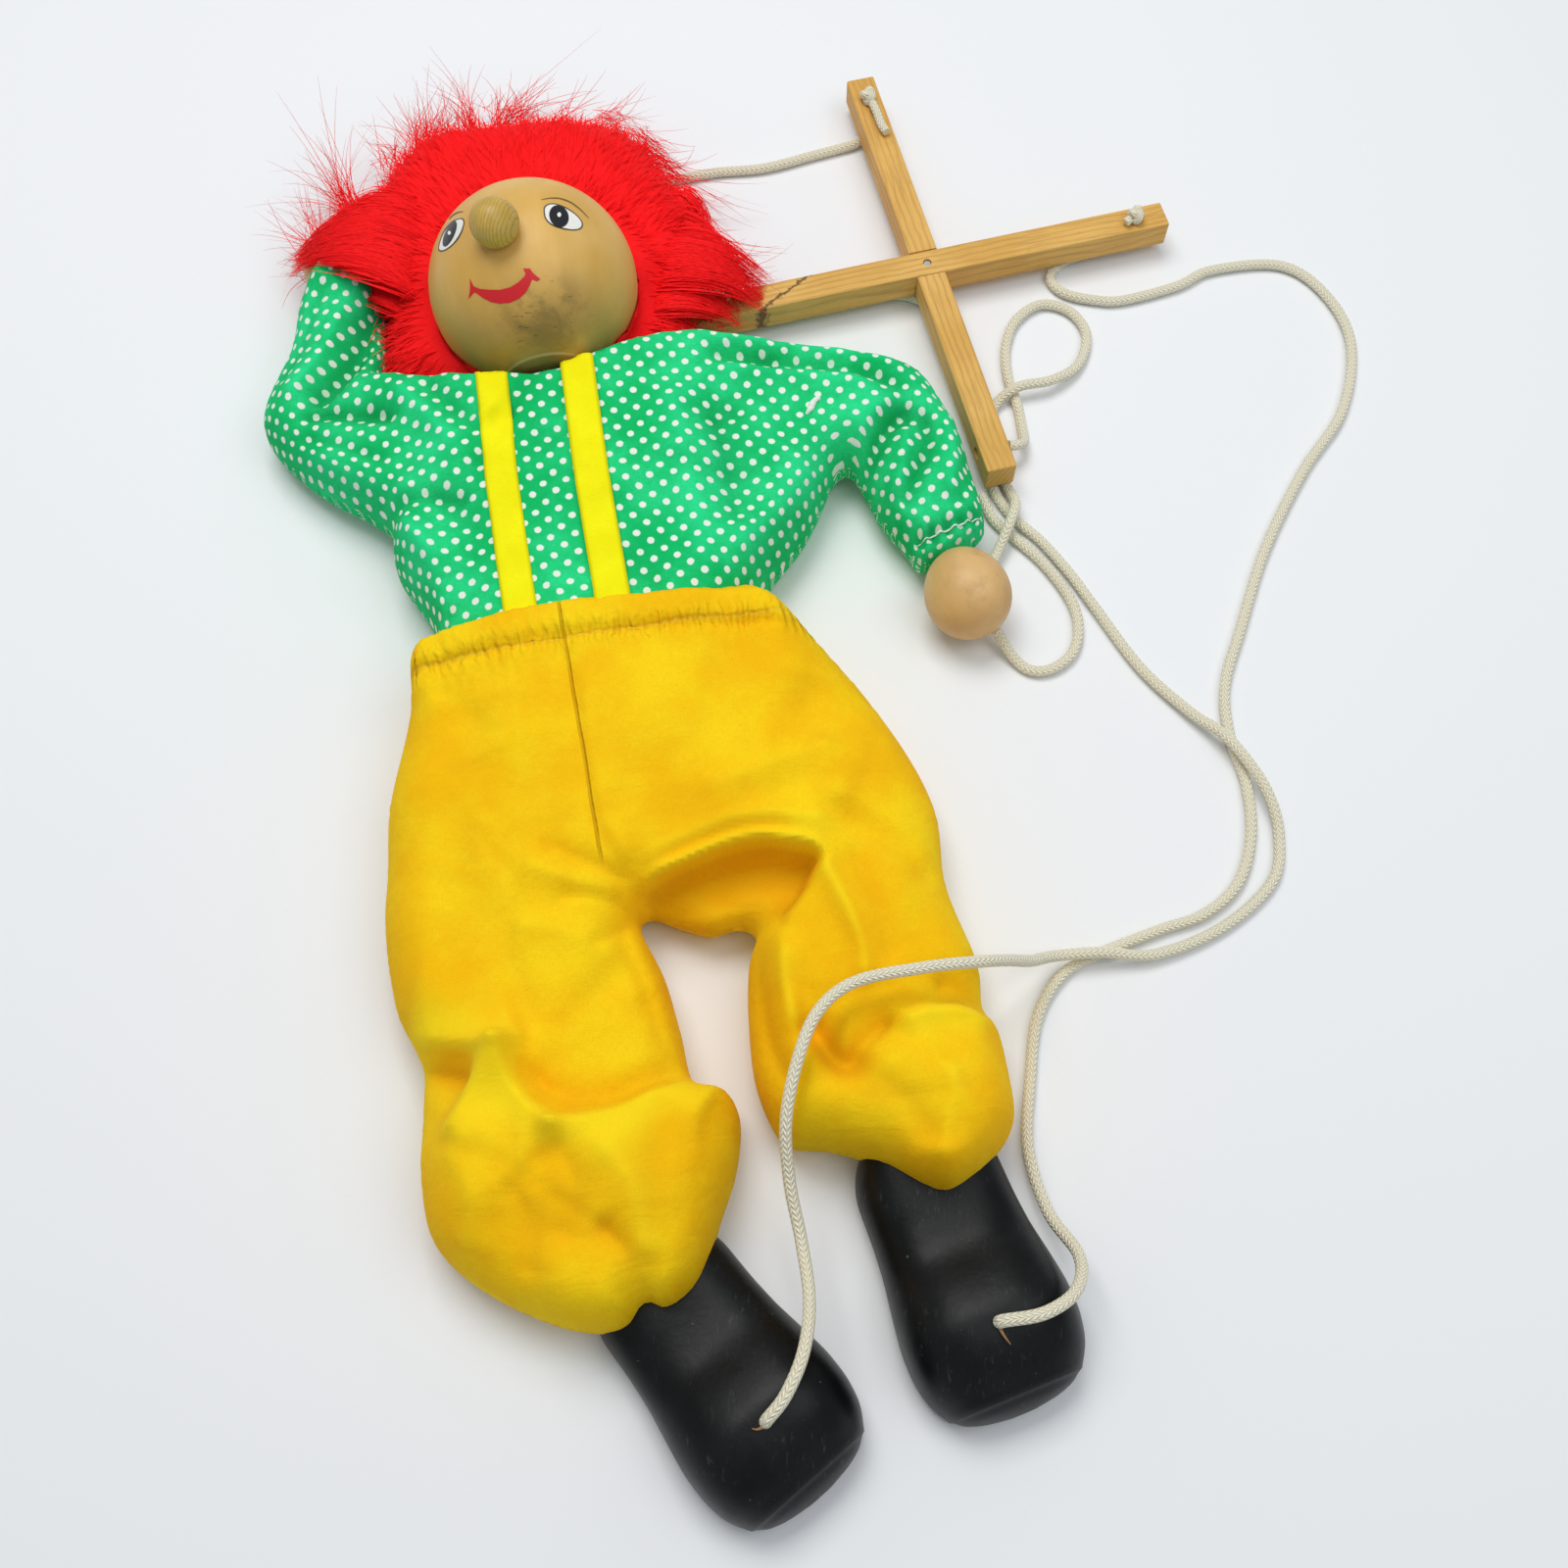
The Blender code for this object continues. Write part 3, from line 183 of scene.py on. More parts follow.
# Height of the trousers' front, and how far in from the outline they are fully risen
TROUSER_FORM = [
    (-84, -8, 33, 4.5), (-75, -5, 38, 5), (-60, 0, 40.5, 5), (-38, 4, 41, 5), (-10, 8, 40.5, 5),
    (5, 10, 36, 5), (-80, -35, 34, 17), (-50, -30, 40, 16), (-20, -25, 41, 16), (15, -15, 36, 20),
    (35, -22, 29, 19), (-80, -70, 33, 18), (-55, -68, 38, 18), (-28, -62, 39, 14), (5, -50, 39, 14),
    (30, -45, 36, 16), (52, -52, 30, 18), (-8, -79, 31, 9), (8, -77, 31, 9), (-70, -100, 34, 17),
    (-40, -100, 36, 17), (-22, -105, 30, 12), (-76, -130, 26, 12), (-50, -128, 35, 16), (-20, -134, 33, 12),
    (26, -92, 34, 12), (45, -88, 36, 16), (62, -90, 31, 16), (20, -115, 30, 11), (45, -118, 32, 16),
    (70, -112, 28, 12), (-55, -158, 39, 20), (-25, -160, 41, 20), (-5, -155, 36, 15), (-55, -180, 33, 15),
    (-25, -185, 36, 12), (-8, -180, 34, 11), (30, -138, 36, 15), (55, -135, 41, 18), (70, -135, 37, 15),
    (60, -152, 37, 7), (30, -146, 30, 10),
]
# Folds: height, width on the left and on the right of the line, and the line
TROUSER_FOLDS = [
    # centre seam, and the crotch edge over the slack lobe
    (-1.6, 1.6, 1.6, [(-48, 2), (-43, -14), (-40, -24), (-36, -49), (-31, -66), (-22, -77)]),
    (1.2, 5, 2.2, [(-40, -10), (-34, -45), (-28, -66), (-20, -76)]),
    (4, 9, 3.0, [(38, -58), (28, -60), (17, -60), (4, -62), (-10, -67), (-22, -75)]),
    (-2.5, 2.2, 2.2, [(26, -63.5), (14, -62), (2, -64.5), (-10, -69.5), (-19, -75)]),
    # creases that run out from the crotch
    (-3.2, 2.0, 2.6, [(-21, -78), (-34, -74), (-50, -67)]),
    (2.4, 4, 3, [(-22, -82), (-36, -80), (-54, -74)]),
    (-2.6, 2.0, 2.4, [(-21, -84.5), (-31.5, -83), (-44, -83)]),
    (-2.8, 2.4, 2.4, [(-22, -86), (-26.6, -92), (-33, -98)]),
    (2.2, 4, 4, [(-24, -100), (-38, -94), (-56, -92)]),
    (-3.2, 5, 4, [(29, -55), (45, -62), (64, -78)]),
    (2.2, 5, 6, [(32, -50), (48, -57), (66, -70)]),
    (1.8, 4, 4, [(-6, -54), (15, -45), (38, -34)]),
    (4.0, 3, 3, [(28, -68), (36, -84), (41, -97), (43, -110)]),
    (-2.8, 3, 4, [(38, -66), (46, -84), (50, -104)]),
    # left knee
    (7.0, 2.0, 10, [(-47, -122), (-57, -124.8), (-69, -124), (-88, -120)]),
    (-7.0, 3, 5, [(-86, -127), (-74, -129.5), (-62, -133)]),
    (7.5, 7, 2.0, [(-55, -121), (-62, -136), (-70, -151)]),
    (7.5, 2.2, 7, [(-55, -121), (-51, -136), (-36, -150)]),
    (-5.0, 6, 6, [(-50, -126), (-44, -136), (-30, -139), (-18, -136), (-4, -129)]),
    (8.0, 2.4, 9, [(-46, -148), (-25, -143), (-14, -137.5), (0, -133), (8, -137)]),
    (2.2, 3, 3, [(-23, -88), (-14, -108), (-7, -127)]),
    (-2.4, 2.0, 2.0, [(-27, -90), (-18, -108), (-12, -127)]),
    (-2.7, 5, 4, [(-40, -150), (-33, -163), (-37, -178)]),
    (3.0, 6, 6, [(-30, -150), (-18, -163), (-15, -182)]),
    (-3.5, 3, 3, [(-28, -170), (-20, -180), (-16, -191)]),
    (2.7, 8, 5, [(-70, -150), (-60, -166), (-64, -180)]),
    (-2.4, 4, 5, [(-52, -160), (-44, -172), (-46, -186)]),
    # right knee
    (-6.1, 3, 4, [(13, -90), (14, -105), (17, -123), (24, -138)]),
    (4.1, 3, 5, [(19, -90), (20, -106), (24, -122), (31, -134)]),
    (-8.1, 4, 5, [(27, -114), (31, -124), (37, -129), (44, -123), (52, -115)]),
    (6.8, 6, 2.6, [(80, -117), (67, -114.5), (52, -118.5), (38, -130)]),
    (-4.1, 4, 4, [(60, -106), (70, -108), (79, -112)]),
    (-2.4, 6, 5, [(44, -132), (55, -143), (57, -154)]),
    (3.0, 5, 5, [(66, -128), (63, -143), (60, -158)]),
]
# Waistband: its lower edge, its gathers and how far they run below and above that edge
WAIST = [(-89, -13), (-66, -8.5), (-48, -5), (-20, -1), (16, 3)]
WAIST_GATHERS = 30
GATHER_HEIGHT = 1.1
GATHER_BELOW = 8.0
GATHER_ABOVE = 9.0
GATHER_WANDER = ((1.7, 9), (0.9, 31))   # how far the gathers stray from even, and how often
WAIST_GROOVE = (1.8, 1.5)   # depth and width
BAND_HEIGHT = 1.3
BAND_MIDDLE = 5.5           # above the lower edge
BAND_HALF = 6.0
BAND_FADE = 2.0
# Stitches and middle seam, in metres on the cloth, from the head
WAIST_STITCH = -131.0 * MM
SEAM = -8.0 * MM
SEAM_ENDS = (-0.203, -0.116)
SEAM_FADE = 6 * MM
STITCH = 2.6 * MM
PUCKER = 3.6 * MM
PUCKER_REACH = 8.0 * MM
# Crotch: its middle, near which there are no small creases, and its edge, rolled over the slack lobe
CROTCH = (-22, -79)
CROTCH_REACH = 30
CROTCH_EDGE = [(33, -71), (27, -68), (14, -66), (2, -68.5), (-10, -73.5), (-21, -79)]
LEDGE = 14.0
LEDGE_STEP = 2.4
LEDGE_REACH = 19.0
LEDGE_ENDS = (0.10, 0.06)   # shares of the edge over which it fades out
ROLL = 2.6
ROLL_WIDTH = 2.2
# Line between the two legs' pieces
LEG_PARTING = [(-48, 30), (-40, -24), (-31, -68), (-12, -82), (-2, -100), (14, -140), (16, -220)]
# Line over which the cloth goes from the torso to each thigh, from the hip's joint: start and end
KNEE_BEND = 22 * MM
# Lengths of the cut cloth in metres, waist to mid thigh and mid thigh to ankle
TROUSER_CUTS = {"upper": 0.115, "lower": 0.120}

# Shirt, in millimetres: outline from the left of the neck round the right arm, under the waistband
# and round the left arm
SHIRT_EDGE = 10.0
SHIRT = [
    (-110, 101), (-100, 97.5), (-90, 94.5), (-80, 92.4), (-66, 91.8), (-52, 93.4), (-42, 99), (-30, 107),
    (-16, 114), (-2, 116), (12, 115.5), (36, 113), (56, 110), (66, 105), (72, 95), (77, 83), (81, 66),
    (84, 51), (82, 45), (72, 38), (63, 35), (58, 42), (51, 51), (46, 62), (41, 70), (36, 66), (31, 53),
    (25, 41), (16, 28), (8, 12), (2, 2), (-40, -8), (-78, -13), (-84, -2), (-89, 12), (-101, 30),
    (-106, 47), (-128, 61), (-143, 74), (-150, 86), (-148, 100), (-144, 115), (-143, 130), (-139, 142),
    (-132, 149), (-122, 148), (-115, 137), (-112, 122), (-111, 110),
]
SHIRT_FORM = [
    (-100, 88, 33, 5), (-84, 85, 38, 2.4), (-70, 85, 38.8, 2.2), (-56, 87, 39, 2.2), (-42, 92, 39, 2.6),
    (-28, 95, 38, 4), (-14, 100, 35, 8), (-70, 55, 39, 14), (-40, 55, 39.4, 14), (-15, 60, 38.5, 16),
    (-60, 22, 38.8, 14), (-30, 25, 39, 14), (-82, 30, 34, 12), (0, 35, 35, 14), (14, 48, 31, 14),
    (5, 95, 32, 13), (25, 95, 29, 14), (45, 95, 28.5, 14), (62, 92, 27, 13), (64, 75, 27, 12),
    (68, 60, 26, 11), (73, 48, 24.5, 9), (75, 42, 23.5, 6), (35, 80, 29, 13), (-105, 70, 31, 14),
    (-120, 78, 29, 13), (-137, 84, 27.5, 12), (-130, 105, 26.5, 12), (-130, 128, 27, 10),
    (-129, 142, 31, 6), (-62, 8, 38.6, 12), (-34, 12, 38.8, 12), (-80, 8, 35, 8), (-8, 16, 38, 12),
    (-78, -6, 29, 8), (-50, -8, 33, 8), (-20, -4, 33, 8), (4, 8, 31, 8),
]
SHIRT_FOLDS = [
    # along the top of the right sleeve, and down from its elbow and armpit
    (-4.5, 2.4, 2.4, [(-12, 100), (12, 101), (28, 100.5), (45, 98), (62, 92)]),
    (3.0, 4, 3, [(-14, 106), (12, 107.5), (30, 106.5), (48, 104), (64, 98)]),
    (2.6, 3, 5, [(-6, 95), (14, 95.5), (34, 94.5), (52, 91)]),
    (3.6, 2.2, 7, [(58, 90), (47, 79), (40, 65), (35, 54)]),
    (-6.0, 4, 3, [(61, 88), (52, 76), (46, 64), (43, 54)]),
    (-4.6, 2.2, 2.2, [(64, 87), (65.5, 72), (61.5, 59), (57, 47)]),
    (3.0, 3.5, 3, [(58, 80), (58, 66), (54, 52)]),
    (3.4, 4, 3, [(72, 88), (74, 68), (71, 50)]),
    (-2.6, 2.4, 2.4, [(79, 74), (77, 60), (74, 48)]),
    (2.6, 6, 5, [(4, 26), (18, 42), (32, 58)]),
    (-2.6, 4, 3, [(12, 26), (24, 42), (33, 54)]),
    (2.8, 6, 6, [(-18, 92), (-11, 64), (-5, 32), (-2, 14)]),
    (-2.8, 5, 5, [(-4, 84), (2, 62), (6, 34)]),
    # left arm
    (3.4, 5, 5, [(-106, 92), (-90, 73), (-76, 54)]),
    (-3.4, 3, 3, [(-96, 92), (-84, 78), (-74, 66)]),
    (-5.0, 2.2, 3.0, [(-136, 82), (-118, 81), (-100, 78)]),
    (3.4, 4, 3, [(-142, 71), (-124, 62), (-102, 51)]),
    (-2.8, 2.4, 2.4, [(-136, 74), (-120, 69), (-102, 61)]),
    (3.7, 4, 4, [(-100, 43), (-90, 29), (-80, 4)]),
    (-3.1, 2.4, 3, [(-105, 44), (-88, 46), (-74, 43)]),
    (-2.8, 3, 3, [(-94, 26), (-84, 16), (-78, 2)]),
    (-7.0, 3, 6, [(-114, 132), (-117, 112), (-123, 95), (-133, 83)]),
    (3.1, 3, 4, [(-122, 130), (-130, 104), (-141, 84)]),
    (-2.6, 2.4, 2.4, [(-132, 136), (-137, 112), (-145, 92)]),
]
CUFF_LINE = [(60, 38.5), (71, 43), (84, 50)]
CUFF_GATHERS = 6
CUFF_WANDER = (0.8, 7)
CUFF_HEIGHT = 1.9
CUFF_REACH = 6.0
CUFF_GROOVE = (4.0, 1.8)    # depth and width
# A white thread in the cuff's stitches, and a bit of white fluff on the sleeve: line and half thickness
SHIRT_THREADS = {
    "cuff_thread": ([(61.5, 39.2), (66, 41.2), (71, 43.3), (77, 46.2), (83, 49.2)], 0.3),
    "sleeve_fluff": ([(27, 80), (28.5, 82), (29.5, 84.5), (31.5, 86)], 1.1),
}
# Sleeves: the two bodies either side of the cloth, the line between its pieces, and its cut length in metres
SLEEVES = {
    "right_upper": ("torso", "right_upper_arm", (-14, 112), (22, 125), 0.075),
    "right_lower": ("right_upper_arm", "right_forearm", (51.4, 88.6), (69, 73), 0.085),
    "left_upper": ("torso", "left_upper_arm", (-94, 57.5), (-113, 69), 0.060),
    "left_lower": ("left_upper_arm", "left_forearm", (-135.5, 77), (-143, 93), 0.080),
}
RIGHT_ARM_X = 36            # a lower sleeve lies beyond this, on its side
LEFT_ARM_X = -100
SHIRT_LENGTH = 0.110
DOT_ACROSS = 7.2 * MM       # between dots in a row, and between every second row
DOT_ALONG = 6.4 * MM
DOT_R = 1.08 * MM
DOT_EDGE = 0.16 * MM

# Suspenders: the middle of each tape from the neck to the waistband, in millimetres
TAPES = {
    "left_suspender": [(-72.5, 91.5), (-71.5, 87), (-65.5, 47), (-57.5, 4), (-56, -4)],
    "right_suspender": [(-45.5, 96), (-45, 92), (-38.5, 51), (-30.5, 8), (-29.5, 0)],
}
TAPE_WIDTH = 10 * MM
TAPE_THICKNESS = 0.9 * MM
TAPE_GAP = 0.4 * MM
TAPE_COLUMNS = 9
TAPE_EDGE = (0.55, 6)       # how much thinner the tape is at its edge, and how sharply
TAPE_RIB = 0.7 * MM
TAPE_THREAD = 0.6 * MM

# Head
HEAD_AT = Vector((HEAD_X, HEAD_Y, HEAD_HEIGHT))
HEAD_R = 33.5 * MM
HEAD_SEAT = 31.5 * MM
HEAD_MESH = (72, 48)
NECK_AXIS = Vector(JOINTS["neck_turn"]["axis"]).normalized()
NOSE_AXIS = Vector((-0.169, -0.170, 0.971)).normalized()
NOSE_PROUD = 38.5 * MM
NOSE_R = 7.6 * MM
NOSE_MESH = (48, 32)
NOSE_LINES = 1.05 * MM
WOOD_RINGS = 5.2381 * MM

# Painted face, where it shows in the photograph's frame, in its pixels
MOUTH = [
    (479.2, 283.9), (483.3, 292.2), (489.8, 294.7), (500.0, 295.7), (510.2, 295.7), (520.4, 293.1),
    (528.6, 288.2), (534.7, 282.4), (536.3, 279.4), (533.7, 273.9), (540.8, 273.9), (543.9, 278.4),
    (551.6, 284.7), (548.0, 287.1), (542.9, 284.9), (540.8, 290.6), (536.3, 298.8), (529.6, 304.9),
    (520.4, 309.0), (510.2, 310.0), (501.0, 308.4), (492.9, 304.3), (487.8, 300.4), (484.1, 298.2),
    (477.8, 305.3), (479.2, 297.8), (479.6, 291.6),
]
EYE_WHITES = {
    "right": [(556.1, 216.1), (556.7, 211.6), (561.2, 208.8), (568.4, 209.2), (577.6, 213.1), (585.7, 218.2),
              (591.8, 224.3), (593.5, 229.4), (590.8, 232.9), (583.7, 233.9), (573.5, 232.0), (563.3, 228.4),
              (557.6, 222.7)],
    "left": [(472.7, 226.7), (471.4, 232.9), (467.8, 240.6), (461.6, 248.8), (454.7, 254.1), (450.0, 255.3),
             (448.0, 252.9), (450.0, 244.7), (454.7, 234.9), (461.2, 227.3), (467.3, 224.3), (471.0, 223.9)],
}
# Pupils: middle, half width, half height, and lean in degrees; and glints: middle and radius
PUPILS = {"right": ((570.4, 220.6), 9.6, 11.6, -25), "left": ((458.8, 238.4), 4.8, 14.2, 24)}
GLINTS = {"right": ((570.6, 219.0), 2.0), "left": ((458.4, 237.6), 1.7)}
BROWS = {
    "right": [(552.4, 203.5), (562.2, 202.0), (571.4, 202.4), (580.6, 205.5), (587.8, 210.0), (594.9, 216.1),
              (601.0, 222.7)],
    "left": [(457.8, 223.5), (462.2, 219.2), (467.3, 216.5), (472.7, 215.7)],
}
BROW_WIDTH = 1.3
BROW_TAPER = 0.35
OUTLINE_WIDTH = 1.5
OVAL_STEPS = 40
PAINT_STEP = 1.6
PAINT_RISE = 0.10 * MM
CHIN_STAIN = (557, 325)
SEAT_RING = (547, 363.5)

# Wig: the outline of its dense pile on the table, and its heights, in millimetres
WIG_EDGE = 14.0
WIG_STEP = 2.6
WIG = [
    (-106, 99), (-110, 112), (-112, 128), (-113, 142), (-114, 156), (-117, 164), (-121, 170), (-117, 179),
    (-114, 187), (-108, 196), (-102, 201), (-94, 204), (-84, 206), (-72, 209), (-58, 210), (-44, 208),
    (-34, 202), (-27, 195), (-23, 185), (-16, 175), (-9, 164), (-10, 152), (-15, 142), (-17, 130),
    (-13, 119), (-19, 106), (-40, 97), (-60, 93), (-85, 94),
]
WIG_FORM = [
    (-60, 152, 38, 20), (-60, 185, 35, 20), (-25, 175, 33, 18), (-95, 178, 34, 18), (-105, 150, 32, 14),
    (-20, 150, 30, 12), (-100, 115, 26, 11), (-20, 122, 25, 11), (-60, 205, 29, 18), (-90, 140, 34, 14),
    (-30, 140, 33, 14), (-60, 125, 34, 16),
]
HAIR_WIDTH = 0.36 * MM
HAIR_TILT = 0.25
HAIR_TAPER = 0.8
HAIR_FLOOR = 0.5 * MM
HEAD_GAP = 0.8 * MM         # between the pile and the head
PILE_HAIRS = 8000
PILE_HAIR = (5, 10)         # shortest and longest hair of the pile
PILE_STEPS = 4
PILE_RAISE = 0.16           # how much a hair stands up from the pile, and how much it strays
PILE_STRAY = 0.13
PILE_BEND = (0.3, 0.3)      # how much a hair sinks and how much it curls
LOCK_STEPS = 7
LOCK_REACH = (0.62, 1.1)    # shortest and longest hair of a lock, as a share of its length
LOCK_BOW = 2.4
ROOT_DEPTH = 4.0            # how far the roots of a lock lie below its own height
# Thick locks: beginning, end, spread at both, heights at beginning, middle and end, and how many hairs
LOCKS = [
    ((-94, 145), (-143, 149), (14, 6), (24, 36, 22), 1200),
    ((-94, 155), (-135, 155), (9, 6), (24, 36, 24), 700),
    ((-94, 135), (-133, 144), (11, 5), (24, 36, 25), 700),
    ((-100, 128), (-120, 135), (8, 5), (20, 28, 20), 300),
    ((-104, 170), (-126, 174), (4, 6), (20, 22, 12), 120),
    ((-104, 182), (-120, 190), (5, 6), (20, 19, 8), 120), ((-24, 172), (-5, 160), (8, 5), (20, 24, 8), 320),
    ((-28, 160), (3, 150), (8, 4), (20, 27, 14), 420), ((-30, 150), (12, 143), (7, 6), (20, 29, 17), 480),
    ((-30, 140), (11, 138), (7, 6), (20, 29, 17), 480), ((-30, 130), (3, 129), (7, 4), (20, 27, 17), 360),
    ((-24, 119), (-5, 119), (7, 4), (18, 21, 10), 220),
]
WISP_WIDTH = 0.24 * MM
WISP_ROOTS = 2.2            # spread of the wisps' roots, and the roots' heights
WISP_ROOT_HEIGHT = (10, 22)
WISP_REACH = (0.35, 1.05)   # shortest and longest hair of a wisp, as a share of its length
WISP_RISE = 4               # spread of the heights at the ends
WISP_BEND = (0.2, 0.45)
WISP_TINT = (1.02, 2.0)
# Loose wisps: beginning, end, spread at the end, height at the end, and how many hairs
WISPS = [
    ((-138, 155), (-157, 177), 4, 14, 26), ((-136, 158), (-156, 192), 4, 12, 22),
    ((-138, 153), (-155, 167), 4, 12, 34), ((-140, 151), (-152, 151), 4, 12, 34),
    ((-140, 152), (-157, 158), 4, 10, 22), ((-128, 170), (-150, 224), 5, 14, 30),
    ((-128, 172), (-145, 204), 5, 14, 34), ((-126, 172), (-152, 190), 5, 14, 34),
    ((-118, 188), (-124, 206), 6, 12, 40), ((-108, 202), (-116, 222), 6, 14, 46),
    ((-106, 203), (-109, 228), 6, 15, 46), ((-102, 206), (-96, 222), 7, 14, 60),
    ((-114, 196), (-122, 212), 6, 12, 40), ((-92, 208), (-96, 231), 4, 15, 40),
    ((-90, 209), (-100, 244), 5, 14, 24), ((-90, 209), (-98, 250), 3, 12, 8),
    ((-82, 212), (-82, 230), 4, 15, 44), ((-80, 212), (-74, 231), 5, 15, 44),
    ((-76, 213), (-62, 240), 6, 13, 26), ((-74, 213), (-66, 231), 6, 13, 40),
    ((-60, 214), (-52, 226), 7, 12, 44), ((-46, 213), (-24, 224), 6, 10, 34),
    ((-42, 212), (-31, 215), 5, 10, 60), ((-32, 206), (-19, 204), 5, 10, 60),
    ((-28, 200), (-11, 196), 4, 9, 60), ((-25, 194), (-5, 188), 5, 8, 50), ((-24, 190), (6, 175), 6, 7, 34),
    ((-16, 176), (-2, 166), 6, 8, 60), ((-10, 164), (3, 152), 5, 8, 60), ((-8, 158), (15, 152), 5, 8, 40),
    ((-2, 146), (18, 144), 4, 16, 60), ((-2, 138), (14, 136), 4, 16, 60), ((-8, 128), (4, 126), 5, 15, 40),
    ((-112, 120), (-118, 116), 5, 14, 40),
]

# Shoes, in millimetres: which way each toe points, and sections from the ankle's axis forward
TOE_TURNS = {"left": math.radians(-140.6), "right": math.radians(-159)}
HEEL_R = 20.5
HEEL_STEPS = 12
HEEL_FROM = 5               # degrees of the heel's round that its flat back takes off
SHOE_SECTIONS = [           # along, half width, height
    (0, 20.5, 19), (10, 20.7, 19), (19, 21.4, 20), (28, 22.8, 24.6), (37, 24.0, 27.8), (45, 24.0, 27.0),
    (52, 22.6, 23.6), (57, 19.8, 19.4), (60.5, 15.2, 15.2), (62.2, 10.0, 11.6), (62.9, 3.5, 8.6),
]
SHOE_RINGS = ((0, 58, 40), (58.4, 62.9, 14))    # from, to and how many, along the foot and at the toe
INSTEP = (0.62, 0.80)       # powers that square off the section across and upwards
SHOE_ROWS = 44
SOLE_EDGE = 4.0
SOLE_RIM = ((0.98, 1.6), (0.94, 0.0))   # share of the half width, and height, of the sole's rounded rim
# A raw sliver of wood at each shoe's string hole
SPLINTERS = {
    "left": [(15.2, -219.6, 27.6), (13.4, -220.4, 27.9), (12.0, -220.2, 28.2)],
    "right": [(74.6, -196.2, 27.8), (75.6, -198.2, 28.0), (77.2, -200.4, 28.2)],
}

# Hands, in millimetres
HAND_R = 13.5
HAND_LENGTH = 30.0
HAND_BLUNT = 0.06
HAND_RINGS = 7.3333 * MM
HAND_MESH = (56, 36)
WRIST_DEPTH = 7.0
LEFT_HAND_AHEAD = Vector((0.1294, 0.99159, 0.0))

# Control cross
BAR_TOP = 14.2 * MM
BAR_STRIPE = 2.3 * MM
CROSS_AT = Vector((69 * MM, 153 * MM, 9.2 * MM))
CROSS_TURN = math.radians(14.5)
STREAK_AT = -0.050          # where the dark streak crosses the cross bar, from its middle
# Knots, in millimetres: their middle on the bar's top, from the cross's middle, along the cross bar and the
# main bar; and their tail
KNOT_CORD_R = 1.45
TAIL_CORD_R = 1.5
KNOT_SIDES = 12
KNOT_STEPS = 72
KNOT_LOBES = (0.58, 0.66, 1.15)
KNOT_RISE = 2.2
KNOTS = {
    "head_knot": ((0, 75), [(0.4, 71.5, 2.4), (0.9, 67, 1.9), (1.0, 61, 1.8), (1.8, 57.5, 1.9)]),
    "left_foot_knot": ((-75, 0), [(-72, 1, 2.0), (-69.5, 1.8, 1.6)]),
    "right_foot_knot": ((75, 0), [(72.4, -1.2, 2.2), (70.6, -2.0, 1.7)]),
}


